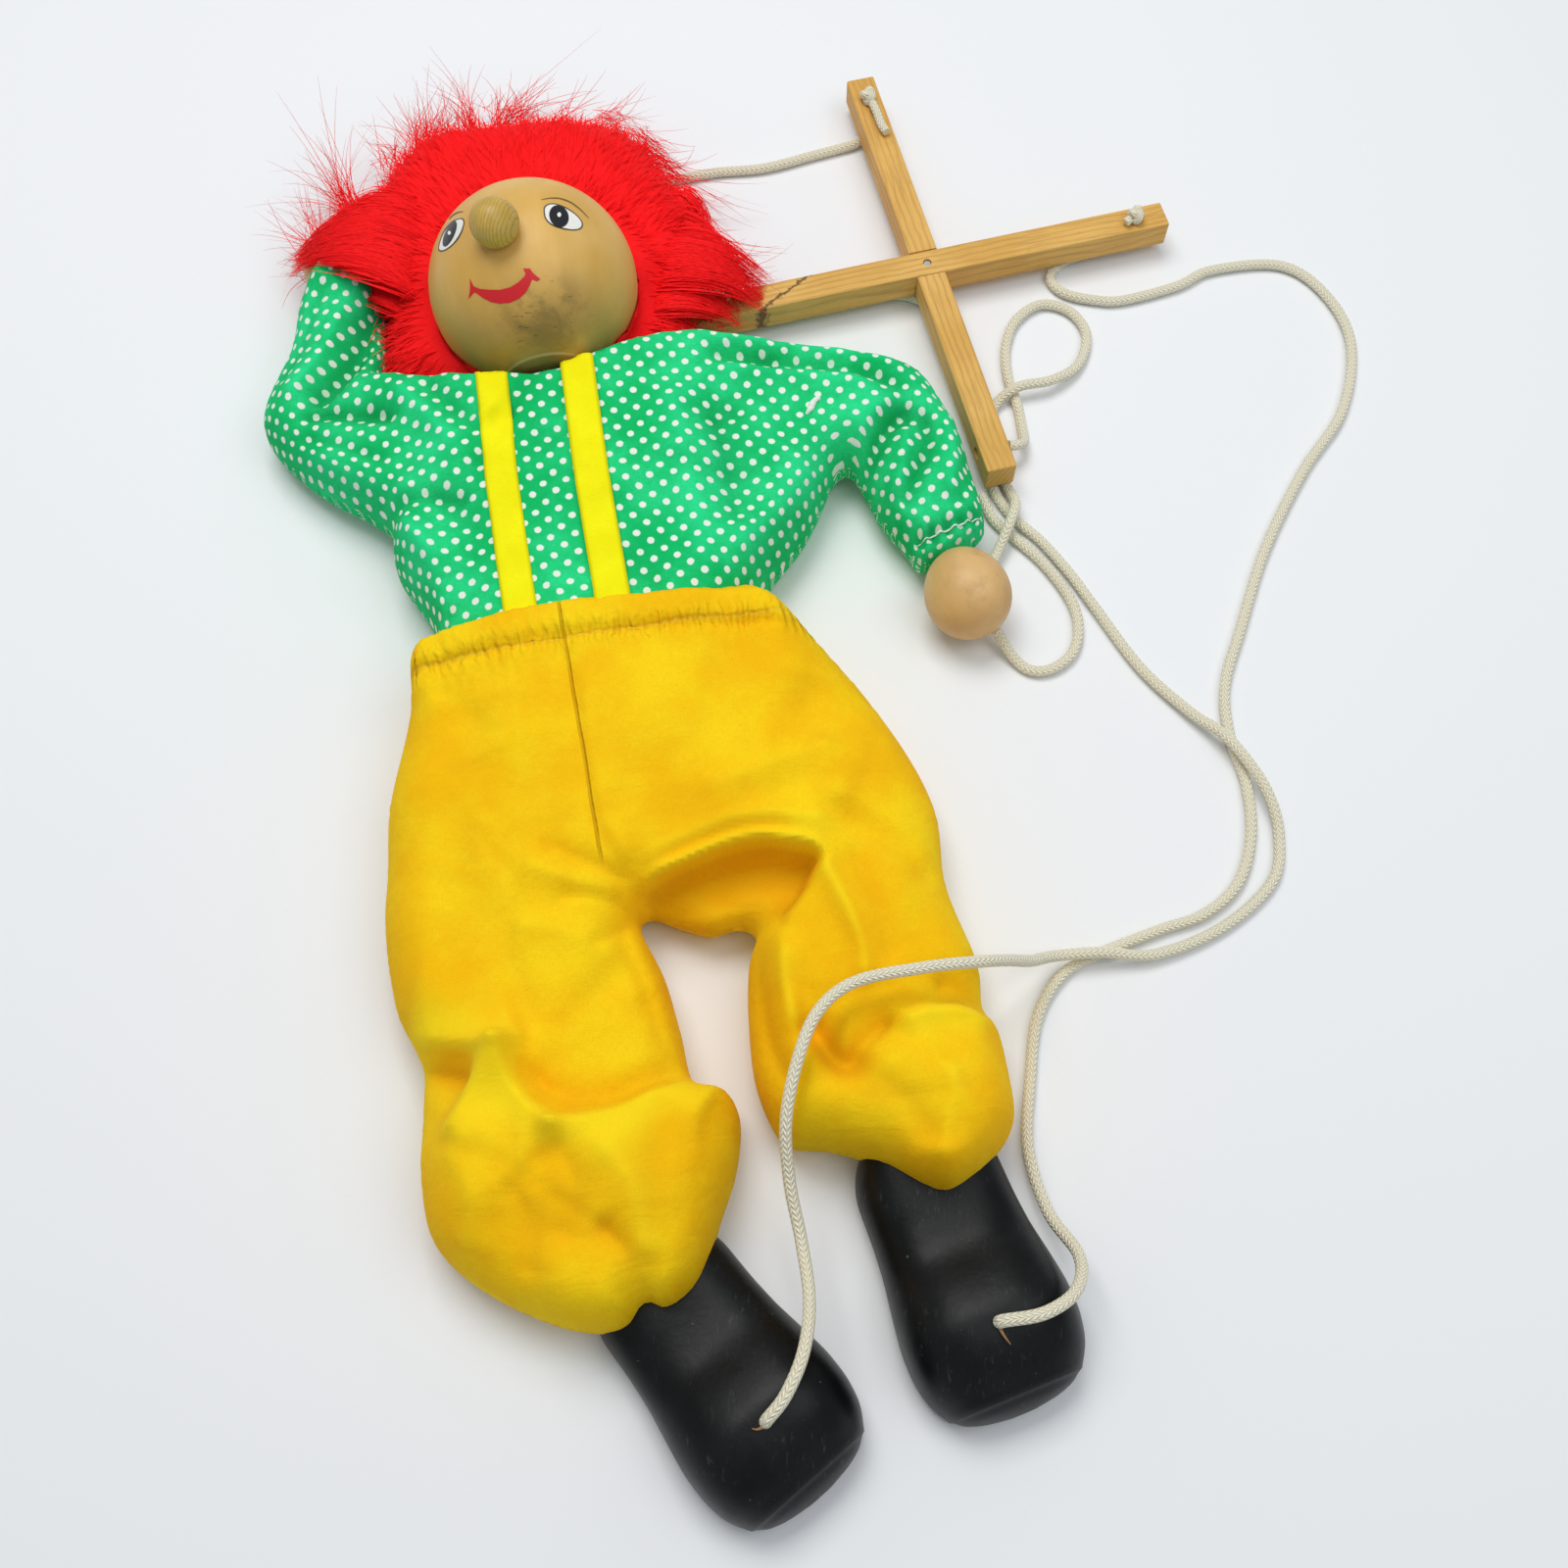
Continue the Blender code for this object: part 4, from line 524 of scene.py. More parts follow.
class Graph:
    """A material and a short way to add and link its nodes."""

    def __init__(self, name):
        self.material = bpy.data.materials.new(name)
        self.material.use_nodes = True
        self.tree = self.material.node_tree
        self.shader = self.tree.nodes["Principled BSDF"]

    def node(self, kind, settings=None, **inputs):
        node = self.tree.nodes.new("ShaderNode" + kind)
        for key, value in (settings or {}).items():
            setattr(node, key, value)
        for key, value in inputs.items():
            self.put(node.inputs[key], value)
        return node

    def put(self, socket, value):
        """Links a socket to another one, or gives it a value. A colour comes without its alpha."""
        if isinstance(value, bpy.types.NodeSocket):
            self.tree.links.new(value, socket)
        elif socket.type == "RGBA":
            socket.default_value = (*value, 1.0)
        else:
            socket.default_value = value

    def math(self, operation, first, second=0.0):
        node = self.node("Math", {"operation": operation})
        self.put(node.inputs[0], first)
        self.put(node.inputs[1], second)
        return node.outputs[0]

    def plus(self, first, second):
        return self.math("ADD", first, second)

    def minus(self, first, second):
        return self.math("SUBTRACT", first, second)

    def times(self, first, second):
        return self.math("MULTIPLY", first, second)

    def size(self, value):
        return self.math("ABSOLUTE", value)

    def wave(self, value, pitch):
        """A sine with one wave to each pitch of a value."""
        return self.math("SINE", self.times(value, FULL_TURN / pitch))

    def repeat(self, value, pitch, shift=0.0):
        """The share of a pitch that a value has gone through, from 0 to 1."""
        share = self.math("DIVIDE", value, pitch)
        return self.math("FRACT", self.plus(share, shift))

    def sway(self, noise, width):
        """A noise from 0 to 1 as a shift to either side, over a width."""
        return self.times(self.minus(noise, 0.5), width)

    def vector(self, operation, first, second, output="Vector"):
        node = self.node("VectorMath", {"operation": operation})
        self.put(node.inputs[0], first)
        self.put(node.inputs[1], second)
        return node.outputs[output]

    def mix(self, share, first, second):
        """Colours mixed by a share from 0 to 1."""
        node = self.node("Mix", {"data_type": "RGBA"})
        for key, value in (("Factor", share), ("A", first), ("B", second)):
            self.put(node.inputs[key], value)
        return node.outputs["Result"]

    def step(self, value, low, high, start=0.0, end=1.0):
        """A smooth ramp of a value between two levels."""
        node = self.node("MapRange", {"interpolation_type": "SMOOTHSTEP"})
        for socket, number in zip(node.inputs, (value, low, high, start, end)):
            self.put(socket, number)
        return node.outputs["Result"]

    def layers(self, colour, *rows):
        """A colour with others laid over it. Each comes in as its value goes from one level to another:
        (value, first level, second level, share at the second, colour)."""
        for value, low, high, share, other in rows:
            colour = self.mix(self.step(value, low, high, 0.0, share), colour, other)
        return colour

    def noise(self, vector, scale, detail=3.0, roughness=0.55, distortion=0.0):
        """Noise of one scale, or of three, each along an axis of its own."""
        if isinstance(scale, tuple):
            vector = self.vector("MULTIPLY", vector, scale)
            scale = 1.0
        node = self.node("TexNoise", Scale=scale, Detail=detail, Roughness=roughness, Distortion=distortion)
        self.put(node.inputs["Vector"], vector)
        return node.outputs["Fac"]

    def uv(self):
        return self.node("UVMap", {"uv_map": "UVMap"}).outputs["UV"]

    def attribute(self, name):
        return self.node("Attribute", {"attribute_name": name}).outputs["Fac"]

    def place(self):
        """The point's place in the piece's own frame, in metres."""
        return self.node("TexCoord").outputs["Object"]

    def split(self, vector):
        return self.node("SeparateXYZ", Vector=vector).outputs

    def join(self, x, y, z):
        return self.node("CombineXYZ", X=x, Y=y, Z=z).outputs[0]

    def bump(self, height, distance, strength, before=None):
        node = self.node("Bump", Height=height, Distance=distance, Strength=strength)
        if before is not None:
            self.put(node.inputs["Normal"], before)
        return node.outputs["Normal"]

    def along_axis(self, at, axis):
        """How far a point stands along an axis through a place, in metres."""
        offset = self.vector("SUBTRACT", self.place(), at)
        return self.vector("DOT_PRODUCT", offset, axis, "Value")

    def distance_from(self, at):
        return self.vector("DISTANCE", self.place(), at, "Value")

    def finish(self, colour, roughness, normal=None, **values):
        """The material, when its shader is set. Other inputs go by name, with underscores for blanks."""
        self.put(self.shader.inputs["Base Color"], colour)
        self.put(self.shader.inputs["Roughness"], roughness)
        if normal is not None:
            self.put(self.shader.inputs["Normal"], normal)
        for key, value in values.items():
            self.shader.inputs[key.replace("_", " ")].default_value = value
        return self.material


def add_object(name, mesh, material):
    item = bpy.data.objects.new(name, mesh)
    bpy.context.scene.collection.objects.link(item)
    mesh.materials.append(material)
    return item


def finish_mesh(bm, name):
    """What was built, as a smooth mesh."""
    for face in bm.faces:
        face.smooth = True
    mesh = bpy.data.meshes.new(name)
    bm.to_mesh(mesh)
    bm.free()
    return mesh


def settle(item, slot, body, *nodes):
    """Hides the solids that a piece is shown in place of, and has a body carry it; what it is made of is not
    used.
    """
    if nodes:
        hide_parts(*nodes)
    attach(item, body)


def camera():
    data = bpy.data.cameras.new("camera")
    data.sensor_width = SENSOR
    data.lens = LENS
    data.clip_start = NEAREST
    item = bpy.data.objects.new("camera", data)
    item.location = CAMERA_AT
    item.rotation_euler = (CAMERA_TILT, 0, 0)
    bpy.context.scene.collection.objects.link(item)
    bpy.context.scene.camera = item


def light():
    scene = bpy.context.scene
    scene.view_settings.view_transform = "Standard"
    scene.view_settings.look = "None"
    world = bpy.data.worlds.new("studio")
    world.use_nodes = True
    sky = world.node_tree.nodes["Background"]
    sky.inputs["Color"].default_value = SKY_COLOUR
    sky.inputs["Strength"].default_value = SKY_STRENGTH
    scene.world = world
    for name, (at, size, power, colour) in LAMPS.items():
        data = bpy.data.lights.new(name, "AREA")
        data.shape = "RECTANGLE"
        data.size, data.size_y = size
        data.energy = power
        data.color = colour
        item = bpy.data.objects.new(name, data)
        item.location = at
        item.rotation_euler = (-Vector(at)).to_track_quat("-Z", "Y").to_euler()
        scene.collection.objects.link(item)


def floor():
    bm = bmesh.new()
    bmesh.ops.create_grid(bm, x_segments=1, y_segments=1, size=FLOOR_SIZE / 2)
    g = Graph("floor_paper")
    grain = g.noise(g.place(), 900.0, 2.0)
    paper = g.finish(PAPER, 0.75, g.bump(grain, 0.05 * MM, 0.2))
    add_object("floor", finish_mesh(bm, "floor"), paper)


def run_of(path):
    """How far along a path each of its points lies."""
    return np.concatenate([[0.0], np.cumsum(np.linalg.norm(np.diff(path, axis=0), axis=1))])


def headings(path):
    """The direction of a path at each of its points."""
    ahead = np.gradient(path, axis=0)
    return ahead / np.linalg.norm(ahead, axis=1, keepdims=True)


def smooth_curve(points, spacing, closed=False):
    """Even points, about a spacing apart, on a smooth curve through the points given."""
    knots = [np.array(point, float) for point in points]
    if closed:
        knots = [knots[-1]] + knots + knots[:2]
    else:
        knots = [2 * knots[0] - knots[1]] + knots + [2 * knots[-1] - knots[-2]]
    fine = []
    for first, second, third, fourth in zip(knots, knots[1:], knots[2:], knots[3:]):
        for step in range(CURVE_STEPS):
            t = step / CURVE_STEPS
            fine.append(0.5 * (2 * second + (third - first) * t
                               + (2 * first - 5 * second + 4 * third - fourth) * t * t
                               + (3 * second - first - 3 * third + fourth) * t ** 3))
    fine = np.array(fine + [knots[-2]])
    along = run_of(fine)
    wanted = np.linspace(0, along[-1], max(3, round(along[-1] / spacing)) + 1)
    even = np.stack([np.interp(wanted, along, values) for values in fine.T], axis=1)
    return even[:-1] if closed else even


def tube_frames(path):
    """Two directions across the path at each of its points, carried along it without a twist."""
    ahead = headings(path)
    side = np.cross(ahead[0], (0.0, 0.0, 1.0))
    if np.linalg.norm(side) < 1e-3:
        side = np.array((1.0, 0.0, 0.0))
    sides = []
    for direction in ahead:
        side = side - direction * side.dot(direction)
        side = side / np.linalg.norm(side)
        sides.append(side)
    sides = np.array(sides)
    return sides, np.cross(ahead, sides)


def tube_mesh(name, path, radius, sides, frames=None, start=0.0):
    """A tube with caps. Its UVs hold turns round it, and metres along it."""
    across, upward = frames or tube_frames(path)
    radii = np.broadcast_to(radius, len(path))
    angles = [FULL_TURN * step / sides for step in range(sides)]
    along = run_of(path) + start
    bm = bmesh.new()
    layer = bm.loops.layers.uv.new("UVMap")
    rings = []
    for place, a, b, r in zip(path, across, upward, radii):
        rings.append([bm.verts.new(place + r * (math.cos(t) * a + math.sin(t) * b)) for t in angles])
    for index, (first, second) in enumerate(zip(rings, rings[1:])):
        for step in range(sides):
            after = (step + 1) % sides
            face = bm.faces.new((first[step], first[after], second[after], second[step]))
            corners = ((step, index), (step + 1, index), (step + 1, index + 1), (step, index + 1))
            for loop, (turn, row) in zip(face.loops, corners):
                loop[layer].uv = (turn / sides, along[row])
    for ring in (rings[0][::-1], rings[-1]):
        bm.faces.new([bm.verts.new(vert.co) for vert in ring])
    return finish_mesh(bm, name)


def cord_material():
    """Cream braided cotton: strands that pass over and under each other in chevrons, with painted highlights on
    their crests and painted shade in the valleys between them.
    """
    g = Graph("braided_cord")
    turn, along, _ = g.split(g.uv())
    column = g.math("FRACT", g.times(turn, BRAID_COLUMNS))
    slant = g.times(g.size(g.minus(column, 0.5)), 2.0)
    phase = g.plus(g.math("DIVIDE", along, BRAID_PITCH), g.times(slant, BRAID_SLANT))
    strand = g.plus(g.times(g.wave(phase, 1.0), 0.5), 0.5)
    valley = g.step(g.math("MINIMUM", slant, g.minus(1.0, slant)), 0.0, 0.22, 0.35, 1.0)
    height = g.times(g.math("POWER", strand, 0.7), valley)
    fibre = g.noise(g.uv(), (40.0, 2600.0, 1.0), 2.0)
    soil = g.noise(g.place(), 30.0)
    # Painted highlight and shade: the cord is lighter where the braid stands high and darker in its valleys.
    colour = g.layers(
        (0.78, 0.70, 0.46),
        (height, 0.05, 0.55, 1.0, (0.98, 0.94, 0.77)),
        (soil, 0.45, 0.75, 0.35, (0.92, 0.86, 0.64)),
    )
    normal = g.bump(g.plus(height, g.times(fibre, 0.25)), 0.45 * MM, 0.9)
    return g.finish(colour, 0.78, normal, Sheen_Weight=0.25, Sheen_Roughness=0.5)


def string_path(name):
    """A string's route as even points in metres. A foot's string goes on down into its shoe."""
    points = [(*point, CORD_REST) if len(point) == 2 else point for point in STRING_ROUTES[name]]
    if "foot" in name:
        x, y, z = points[-1]
        points.append((x, y, z - HOLE_DEPTH))
    return smooth_curve(np.array(points) * MM, CORD_SPACING)


def strings(material):
    """Each string as stretches of cord, one after the other, between the bodies that hold them."""
    for name, holds in STRING_HOLDS.items():
        path = string_path(name)
        across, upward = tube_frames(path)
        along = run_of(path)
        rows = []
        for distance, body in holds:
            if distance is None:
                place = along[-1]
            else:
                place = distance * MM + (along[-1] if distance < 0 else 0.0)
            rows.append((int(np.argmin(abs(along - place))), body))
        for number, ((low, first), (high, second)) in enumerate(zip(rows, rows[1:]), 1):
            part = slice(low, high + 1)
            route = path[part]
            piece = "%s_cord_%d" % (name.replace("_string", ""), number)
            mesh = tube_mesh(piece, route, CORD_R, CORD_SIDES, (across[part], upward[part]), along[low])
            item = add_object(piece, mesh, material)
            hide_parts(name)
            if first == second:
                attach(item, first)
            else:
                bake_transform(item)


def ease(values):
    values = np.clip(values, 0, 1)
    return values * values * (3 - 2 * values)


def nearest_on(places, line, closed=False):
    """For each place: the distance to a line, the nearest point on it, its segment and share, and side."""
    starts = line if closed else line[:-1]
    ends = np.roll(line, -1, axis=0) if closed else line[1:]
    along = ends - starts
    squares = np.maximum((along ** 2).sum(axis=1), 1e-12)
    found = []
    for block in np.array_split(places, max(1, len(places) // 2000)):
        offset = block[:, None, :] - starts[None]
        share = np.clip((offset * along).sum(axis=2) / squares, 0, 1)
        gap = offset - share[..., None] * along
        squared = (gap ** 2).sum(axis=2)
        pick = squared.argmin(axis=1)
        rows = np.arange(len(block))
        cross = along[pick, 0] * offset[rows, pick, 1] - along[pick, 1] * offset[rows, pick, 0]
        found.append((np.sqrt(squared[rows, pick]), block - gap[rows, pick], pick + share[rows, pick],
                      np.where(cross >= 0, 1.0, -1.0)))
    return [np.concatenate(values) for values in zip(*found)]


def beside(places, points, spacing):
    """For each place: its distance from a smooth line through points, the share along it, and its side."""
    line = smooth_curve(points, spacing)
    distance, _, index, side = nearest_on(places, line)
    return distance, index / (len(line) - 1), side


def inside(places, ring):
    """Which places lie inside a closed outline."""
    following = np.roll(ring, -1, axis=0)
    crossings = np.zeros(len(places), int)
    for (x0, y0), (x1, y1) in zip(ring, following):
        straddles = (y0 > places[:, 1]) != (y1 > places[:, 1])
        reach = x0 + (places[:, 1] - y0) * (x1 - x0) / (y1 - y0 if y1 != y0 else 1e-9)
        crossings += straddles & (places[:, 0] < reach)
    return crossings % 2 == 1


def past_line(places, start, end):
    """How far each place lies from the start of a line towards its end, as a share."""
    start = np.array(start[:2])
    along = np.array(end[:2]) - start
    return (places[:, :2] - start) @ along / (along @ along)


def triangulated(outline, inner, limit):
    """Places and triangles that fill an outline, with corners at the inner places too."""
    places = [Vector(place) for place in np.concatenate([outline, *inner])]
    found = geometry.delaunay_2d_cdt(places, [], [list(range(len(outline)))], 1, limit)
    return np.array([tuple(place) for place in found[0]]), np.array([tuple(face) for face in found[2]])


def field(places, controls):
    """Values spread smoothly from the controls: (x, y, value, value, ...)."""
    controls = np.array(controls, float)
    squared = ((places[:, None, :] - controls[None, :, :2]) ** 2).sum(axis=2)
    weights = 1.0 / (squared + CONTROL_BLUR ** 2) ** 2
    weights /= weights.sum(axis=1, keepdims=True)
    return weights @ controls[:, 2:]


def fold_lift(places, fold):
    """How much a fold lifts the cloth: (height, width on its left, width on its right, its line)."""
    height, left, right, points = fold
    distance, share, side = beside(places, points, 2.5)
    fade = ease(share / FOLD_FADE) * ease((1 - share) / FOLD_FADE)
    return height * fade * np.exp(-(distance / np.where(side > 0, left, right)) ** FOLD_POWER)


def small_creases(places, count, direction, spread, height):
    """Seeded short creases, most of them along one direction."""
    low, high = places.min(axis=0), places.max(axis=0)
    lift = np.zeros(len(places))
    for _ in range(count):
        middle = RNG.uniform(low, high)
        turn = direction + RNG.normal(0, spread)
        ahead = np.array((math.cos(turn), math.sin(turn)))
        offset = places - middle
        along = offset @ ahead
        bow = along ** 2 * RNG.uniform(-CREASE_BOW, CREASE_BOW)
        across = offset @ np.array((-ahead[1], ahead[0])) + bow
        length, width = RNG.uniform(*CREASE_LENGTH), RNG.uniform(*CREASE_WIDTH)
        lift += RNG.normal(0, height) * np.exp(-(along / length) ** 2 - (across / width) ** 2)
    return lift


def cloth_net(outline, spacing):
    """An outline's even points anticlockwise, and a net of triangles that is finer along it."""
    ring = smooth_curve(outline, 1.5, closed=True)
    area = (ring[:, 0] * np.roll(ring[:, 1], -1) - np.roll(ring[:, 0], -1) * ring[:, 1]).sum()
    if area < 0:
        ring = ring[::-1].copy()
    ahead = np.roll(ring, -1, axis=0) - np.roll(ring, 1, axis=0)
    ahead /= np.linalg.norm(ahead, axis=1, keepdims=True)
    inward = np.stack([-ahead[:, 1], ahead[:, 0]], axis=1)
    low, high = ring.min(axis=0), ring.max(axis=0)
    rows = np.arange(low[1], high[1], spacing * ROW_SHARE)
    columns = np.arange(low[0], high[0], spacing)
    shifts = [0.5 * spacing * (row % 2) for row in range(len(rows))]
    grid = np.array([(x + shift, y) for shift, y in zip(shifts, rows) for x in columns])
    grid = grid[inside(grid, ring)]
    inner = [grid[nearest_on(grid, ring, closed=True)[0] > RIM_STEPS[-1] + 0.5 * spacing]]
    for depth in RIM_STEPS:
        rim = ring + depth * inward
        rim = rim[inside(rim, ring)]
        inner.append(rim[nearest_on(rim, ring, closed=True)[0] > 0.92 * depth])
    return ring, *triangulated(ring, inner, 1e-4)


def relaxed(heights, triangles, fixed):
    """Heights drawn half way to the mean of their neighbours, apart from the fixed ones."""
    ends = np.concatenate([triangles[:, [0, 1]], triangles[:, [1, 2]], triangles[:, [2, 0]]])
    for _ in range(SMOOTHING):
        total = np.zeros(len(heights))
        number = np.zeros(len(heights))
        for first, second in ((0, 1), (1, 0)):
            np.add.at(total, ends[:, first], heights[ends[:, second]])
            np.add.at(number, ends[:, first], 1)
        heights = np.where(fixed, heights, 0.5 * heights + 0.5 * total / np.maximum(number, 1))
    return heights


def point_normals(points, faces):
    first, second, third = (points[faces[:, corner]] for corner in range(3))
    face_normals = np.cross(second - first, third - first)
    normals = np.zeros_like(points)
    for corner in range(3):
        np.add.at(normals, faces[:, corner], face_normals)
    return normals / np.maximum(np.linalg.norm(normals, axis=1, keepdims=True), 1e-9)


def cloth_form(outline, controls, folds, edge, creases, spacing):
    """A soft closed form over an outline on the table, in millimetres: its points, faces, UVs, normals
    and how far its folds lift it.
    Each control holds (x, y, height, how far in from the outline the form is fully risen)."""
    ring, places, triangles = cloth_net(outline, spacing)
    depth, rim_point, _, _ = nearest_on(places, ring, closed=True)
    height, roll = field(places, controls).T
    rise = np.sqrt(np.maximum(0.0, 1 - (1 - np.clip(depth / roll, 0, 1)) ** 2))
    lift = sum(fold_lift(places, fold) for fold in folds) + creases(places)
    on_rim = depth < 1e-3
    top = relaxed(edge + (height - edge + lift) * rise, triangles, on_rim)
    under = edge - (edge - CLOTH_FLOOR) * rise

    count = (~on_rim).sum()
    lower = np.arange(len(places))
    lower[~on_rim] = len(places) + np.arange(count)
    points = np.concatenate([np.column_stack([places, top]), np.column_stack([places, under])[~on_rim]])
    faces = np.concatenate([triangles, lower[triangles][:, ::-1]])

    outward = (rim_point - places) / np.maximum(depth, 1e-6)[:, None]
    flat = places + outward * (SIDE_DRAPE * (height - edge) * (1 - rise))[:, None]
    flat = np.concatenate([flat, flat[~on_rim]]) - np.array((HEAD_X, HEAD_Y)) / MM
    turn = np.array(((math.cos(LEAN), -math.sin(LEAN)), (math.sin(LEAN), math.cos(LEAN))))
    return {"points": points * MM, "faces": faces, "uv": (flat @ turn) * MM,
            "normals": point_normals(points, faces), "lift": np.concatenate([lift * rise, np.zeros(count)])}


def face_middles(form):
    return form["points"][form["faces"]].mean(axis=1)


def cloth_piece(name, form, keep, material):
    """The part of a cloth form whose faces are kept, as a piece that meets its neighbours without a seam."""
    faces = form["faces"][keep]
    used, corners = np.unique(faces, return_inverse=True)
    corners = corners.reshape(faces.shape)
    mesh = bpy.data.meshes.new(name)
    mesh.from_pydata(form["points"][used].tolist(), [], corners.tolist())
    layer = mesh.uv_layers.new(name="UVMap")
    layer.data.foreach_set("uv", form["uv"][used][corners.ravel()].astype(np.float32).ravel())
    # How far folds and creases lift the cloth, which the cloth materials turn into painted shade in hollows and
    # painted highlight on crests.
    lift = mesh.attributes.new("lift", "FLOAT", "POINT")
    lift.data.foreach_set("value", form["lift"][used].astype(np.float32))
    mesh.shade_smooth()
    mesh.normals_split_custom_set_from_vertices(form["normals"][used].tolist())
    return add_object(name, mesh, material)


def declare_cloth(item, slot, length, rests_on, *nodes):
    """Hides the solids that a piece of cloth is shown in place of; the length it was cut to is not used."""
    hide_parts(*nodes)


def form_height(form, places):
    """Height of a cloth form's front above places on the table, in metres."""
    front = form["points"][form["normals"][:, 2] > 0.02]
    heights = []
    for place in places:
        squared = ((front[:, :2] - place) ** 2).sum(axis=1)
        near = np.argpartition(squared, 4)[:4]
        weights = 1.0 / (squared[near] + (0.3 * MM) ** 2)
        heights.append((front[near, 2] * weights).sum() / weights.sum())
    return np.array(heights)


def limb_ahead(joint):
    """The way a limb points past a joint: across the joint's axis, along the table."""
    axis = Vector(JOINTS[joint]["axis"])
    return Vector((-axis.y, axis.x, 0.0)).normalized()


def cotton_weave(g):
    """Height and grain of plain woven cotton."""
    across, along, _ = g.split(g.uv())
    slub = g.noise(g.uv(), (2600.0, 500.0, 1.0), 2.0)
    cross = g.noise(g.uv(), (500.0, 2600.0, 1.0), 2.0)
    grain = g.plus(slub, cross)
    weave = g.times(g.wave(across, THREAD), g.wave(along, THREAD))
    return g.plus(g.times(weave, 0.35), grain), grain


def creased_normal(g, height, stretch):
    """The cloth's weave and its finest creases."""
    weave = g.bump(height, 0.10 * MM, 0.55)
    creases = g.noise(g.uv(), stretch, 4.0, 0.6, 0.6)
    return g.bump(creases, 1.4 * MM, 0.40, weave)


def trouser_material():
    """Yellow cotton, with a row of stitches and puckers under the waistband and a seam down the middle. Painted
    shade darkens the stitch groove, the seam's ditch and the folds' hollows, and painted highlight lightens the
    folds' crests.
    """
    g = Graph("trouser_cotton")
    across, along, _ = g.split(g.uv())
    height, grain = cotton_weave(g)
    cloud = g.noise(g.uv(), 26.0, 4.0, 0.6)
    fade = g.noise(g.uv(), 90.0)
    wander = g.times(g.noise(g.uv(), 130.0, 2.0), 5.0 * MM)
    sway = g.sway(g.noise(g.uv(), 45.0, 2.0), 1.6 * MM)

    below = g.plus(g.minus(along, WAIST_STITCH), g.times(across, 0.025))
    row = g.size(g.plus(below, sway))
    groove = g.step(row, 0.0, 1.1 * MM, 1.0, 0.0)
    dash = g.math("LESS_THAN", g.repeat(across, STITCH), 0.7)
    thread = g.times(g.step(row, 0.25 * MM, 0.45 * MM, 1.0, 0.0), dash)
    pucker = g.times(g.wave(g.plus(across, wander), PUCKER), g.step(row, 0.0, PUCKER_REACH, 1.0, 0.0))
    low, high = SEAM_ENDS
    on_seam = g.times(g.step(along, low, low + SEAM_FADE), g.step(along, high - SEAM_FADE, high, 1.0, 0.0))
    seam = g.size(g.plus(g.minus(across, SEAM), g.times(sway, 0.5)))
    ditch = g.times(on_seam, g.step(seam, 0.0, 0.7 * MM, 1.0, 0.0))

    colour = g.layers(
        (0.96, 0.53, 0.003),
        (cloud, 0.35, 0.68, 1.0, (1.0, 0.70, 0.008)),
        (fade, 0.5, 0.8, 0.35, (1.0, 0.70, 0.006)),
        (grain, 0.75, 1.3, 0.25, (0.80, 0.40, 0.002)),
    )
    # Painted shade along the stitch row's groove, a paler thread over it, and painted shade in the seam's
    # ditch.
    colour = g.mix(g.times(groove, 0.14), colour, (0.62, 0.27, 0.002))
    colour = g.mix(g.times(thread, 0.6), colour, (0.95, 0.62, 0.05))
    colour = g.mix(g.times(ditch, 0.4), colour, (0.55, 0.23, 0.002))
    # Painted shade in the hollows of the folds and creases, and painted highlight on their crests, from how far
    # they lift the cloth.
    lift = g.attribute("lift")
    colour = g.mix(g.step(lift, -6.0, 0.5, 0.5, 0.0), colour, (0.70, 0.31, 0.002))
    colour = g.layers(colour, (lift, 0.5, 5.0, 0.5, (1.0, 0.80, 0.015)))

    relief = g.minus(g.times(pucker, 0.5), g.plus(g.times(groove, 0.4), ditch))
    normal = g.bump(relief, 0.9 * MM, 0.8, creased_normal(g, height, (70.0, 130.0, 1.0)))
    return g.finish(colour, 0.9, normal, Specular_IOR_Level=0.12)


def furrow(distance, depth, width):
    """Depth of a round furrow, or height of a roll, at a distance from its line."""
    return depth * np.exp(-(distance / width) ** 2)


def waist_gathers(places):
    """Ripples that run down from the elastic waistband, and the row of stitches below it."""
    distance, share, side = beside(places, WAIST, 1.5)
    below = np.where(side < 0, distance, 0.0)
    above = np.where(side > 0, distance, 0.0)
    wander = sum(size * np.sin(rate * share) for size, rate in GATHER_WANDER)
    wave = np.sin(FULL_TURN * WAIST_GATHERS * share + wander)
    ripple = GATHER_HEIGHT * wave * np.exp(-below / GATHER_BELOW) * np.exp(-above / GATHER_ABOVE)
    band = BAND_HEIGHT * ease((BAND_HALF - abs(above - BAND_MIDDLE)) / BAND_FADE) * (side > 0)
    return ripple - furrow(distance, *WAIST_GROOVE) + band


def crotch_ledge(places):
    """A rolled edge, and the step down from it to the lobe."""
    distance, share, side = beside(places, CROTCH_EDGE, 1.5)
    fade = ease(share / LEDGE_ENDS[0]) * ease((1 - share) / LEDGE_ENDS[1])
    drop = -LEDGE * ease(distance / LEDGE_STEP) * np.exp(-(distance / LEDGE_REACH) ** 4)
    return fade * (np.where(side > 0, drop, 0.0) + furrow(distance, ROLL, ROLL_WIDTH))


def trouser_creases(places):
    from_crotch = np.hypot(places[:, 0] - CROTCH[0], places[:, 1] - CROTCH[1])
    small = small_creases(places, *SMALL_CREASES["trousers"])
    return waist_gathers(places) + crotch_ledge(places) + small * ease(from_crotch / CROTCH_REACH)


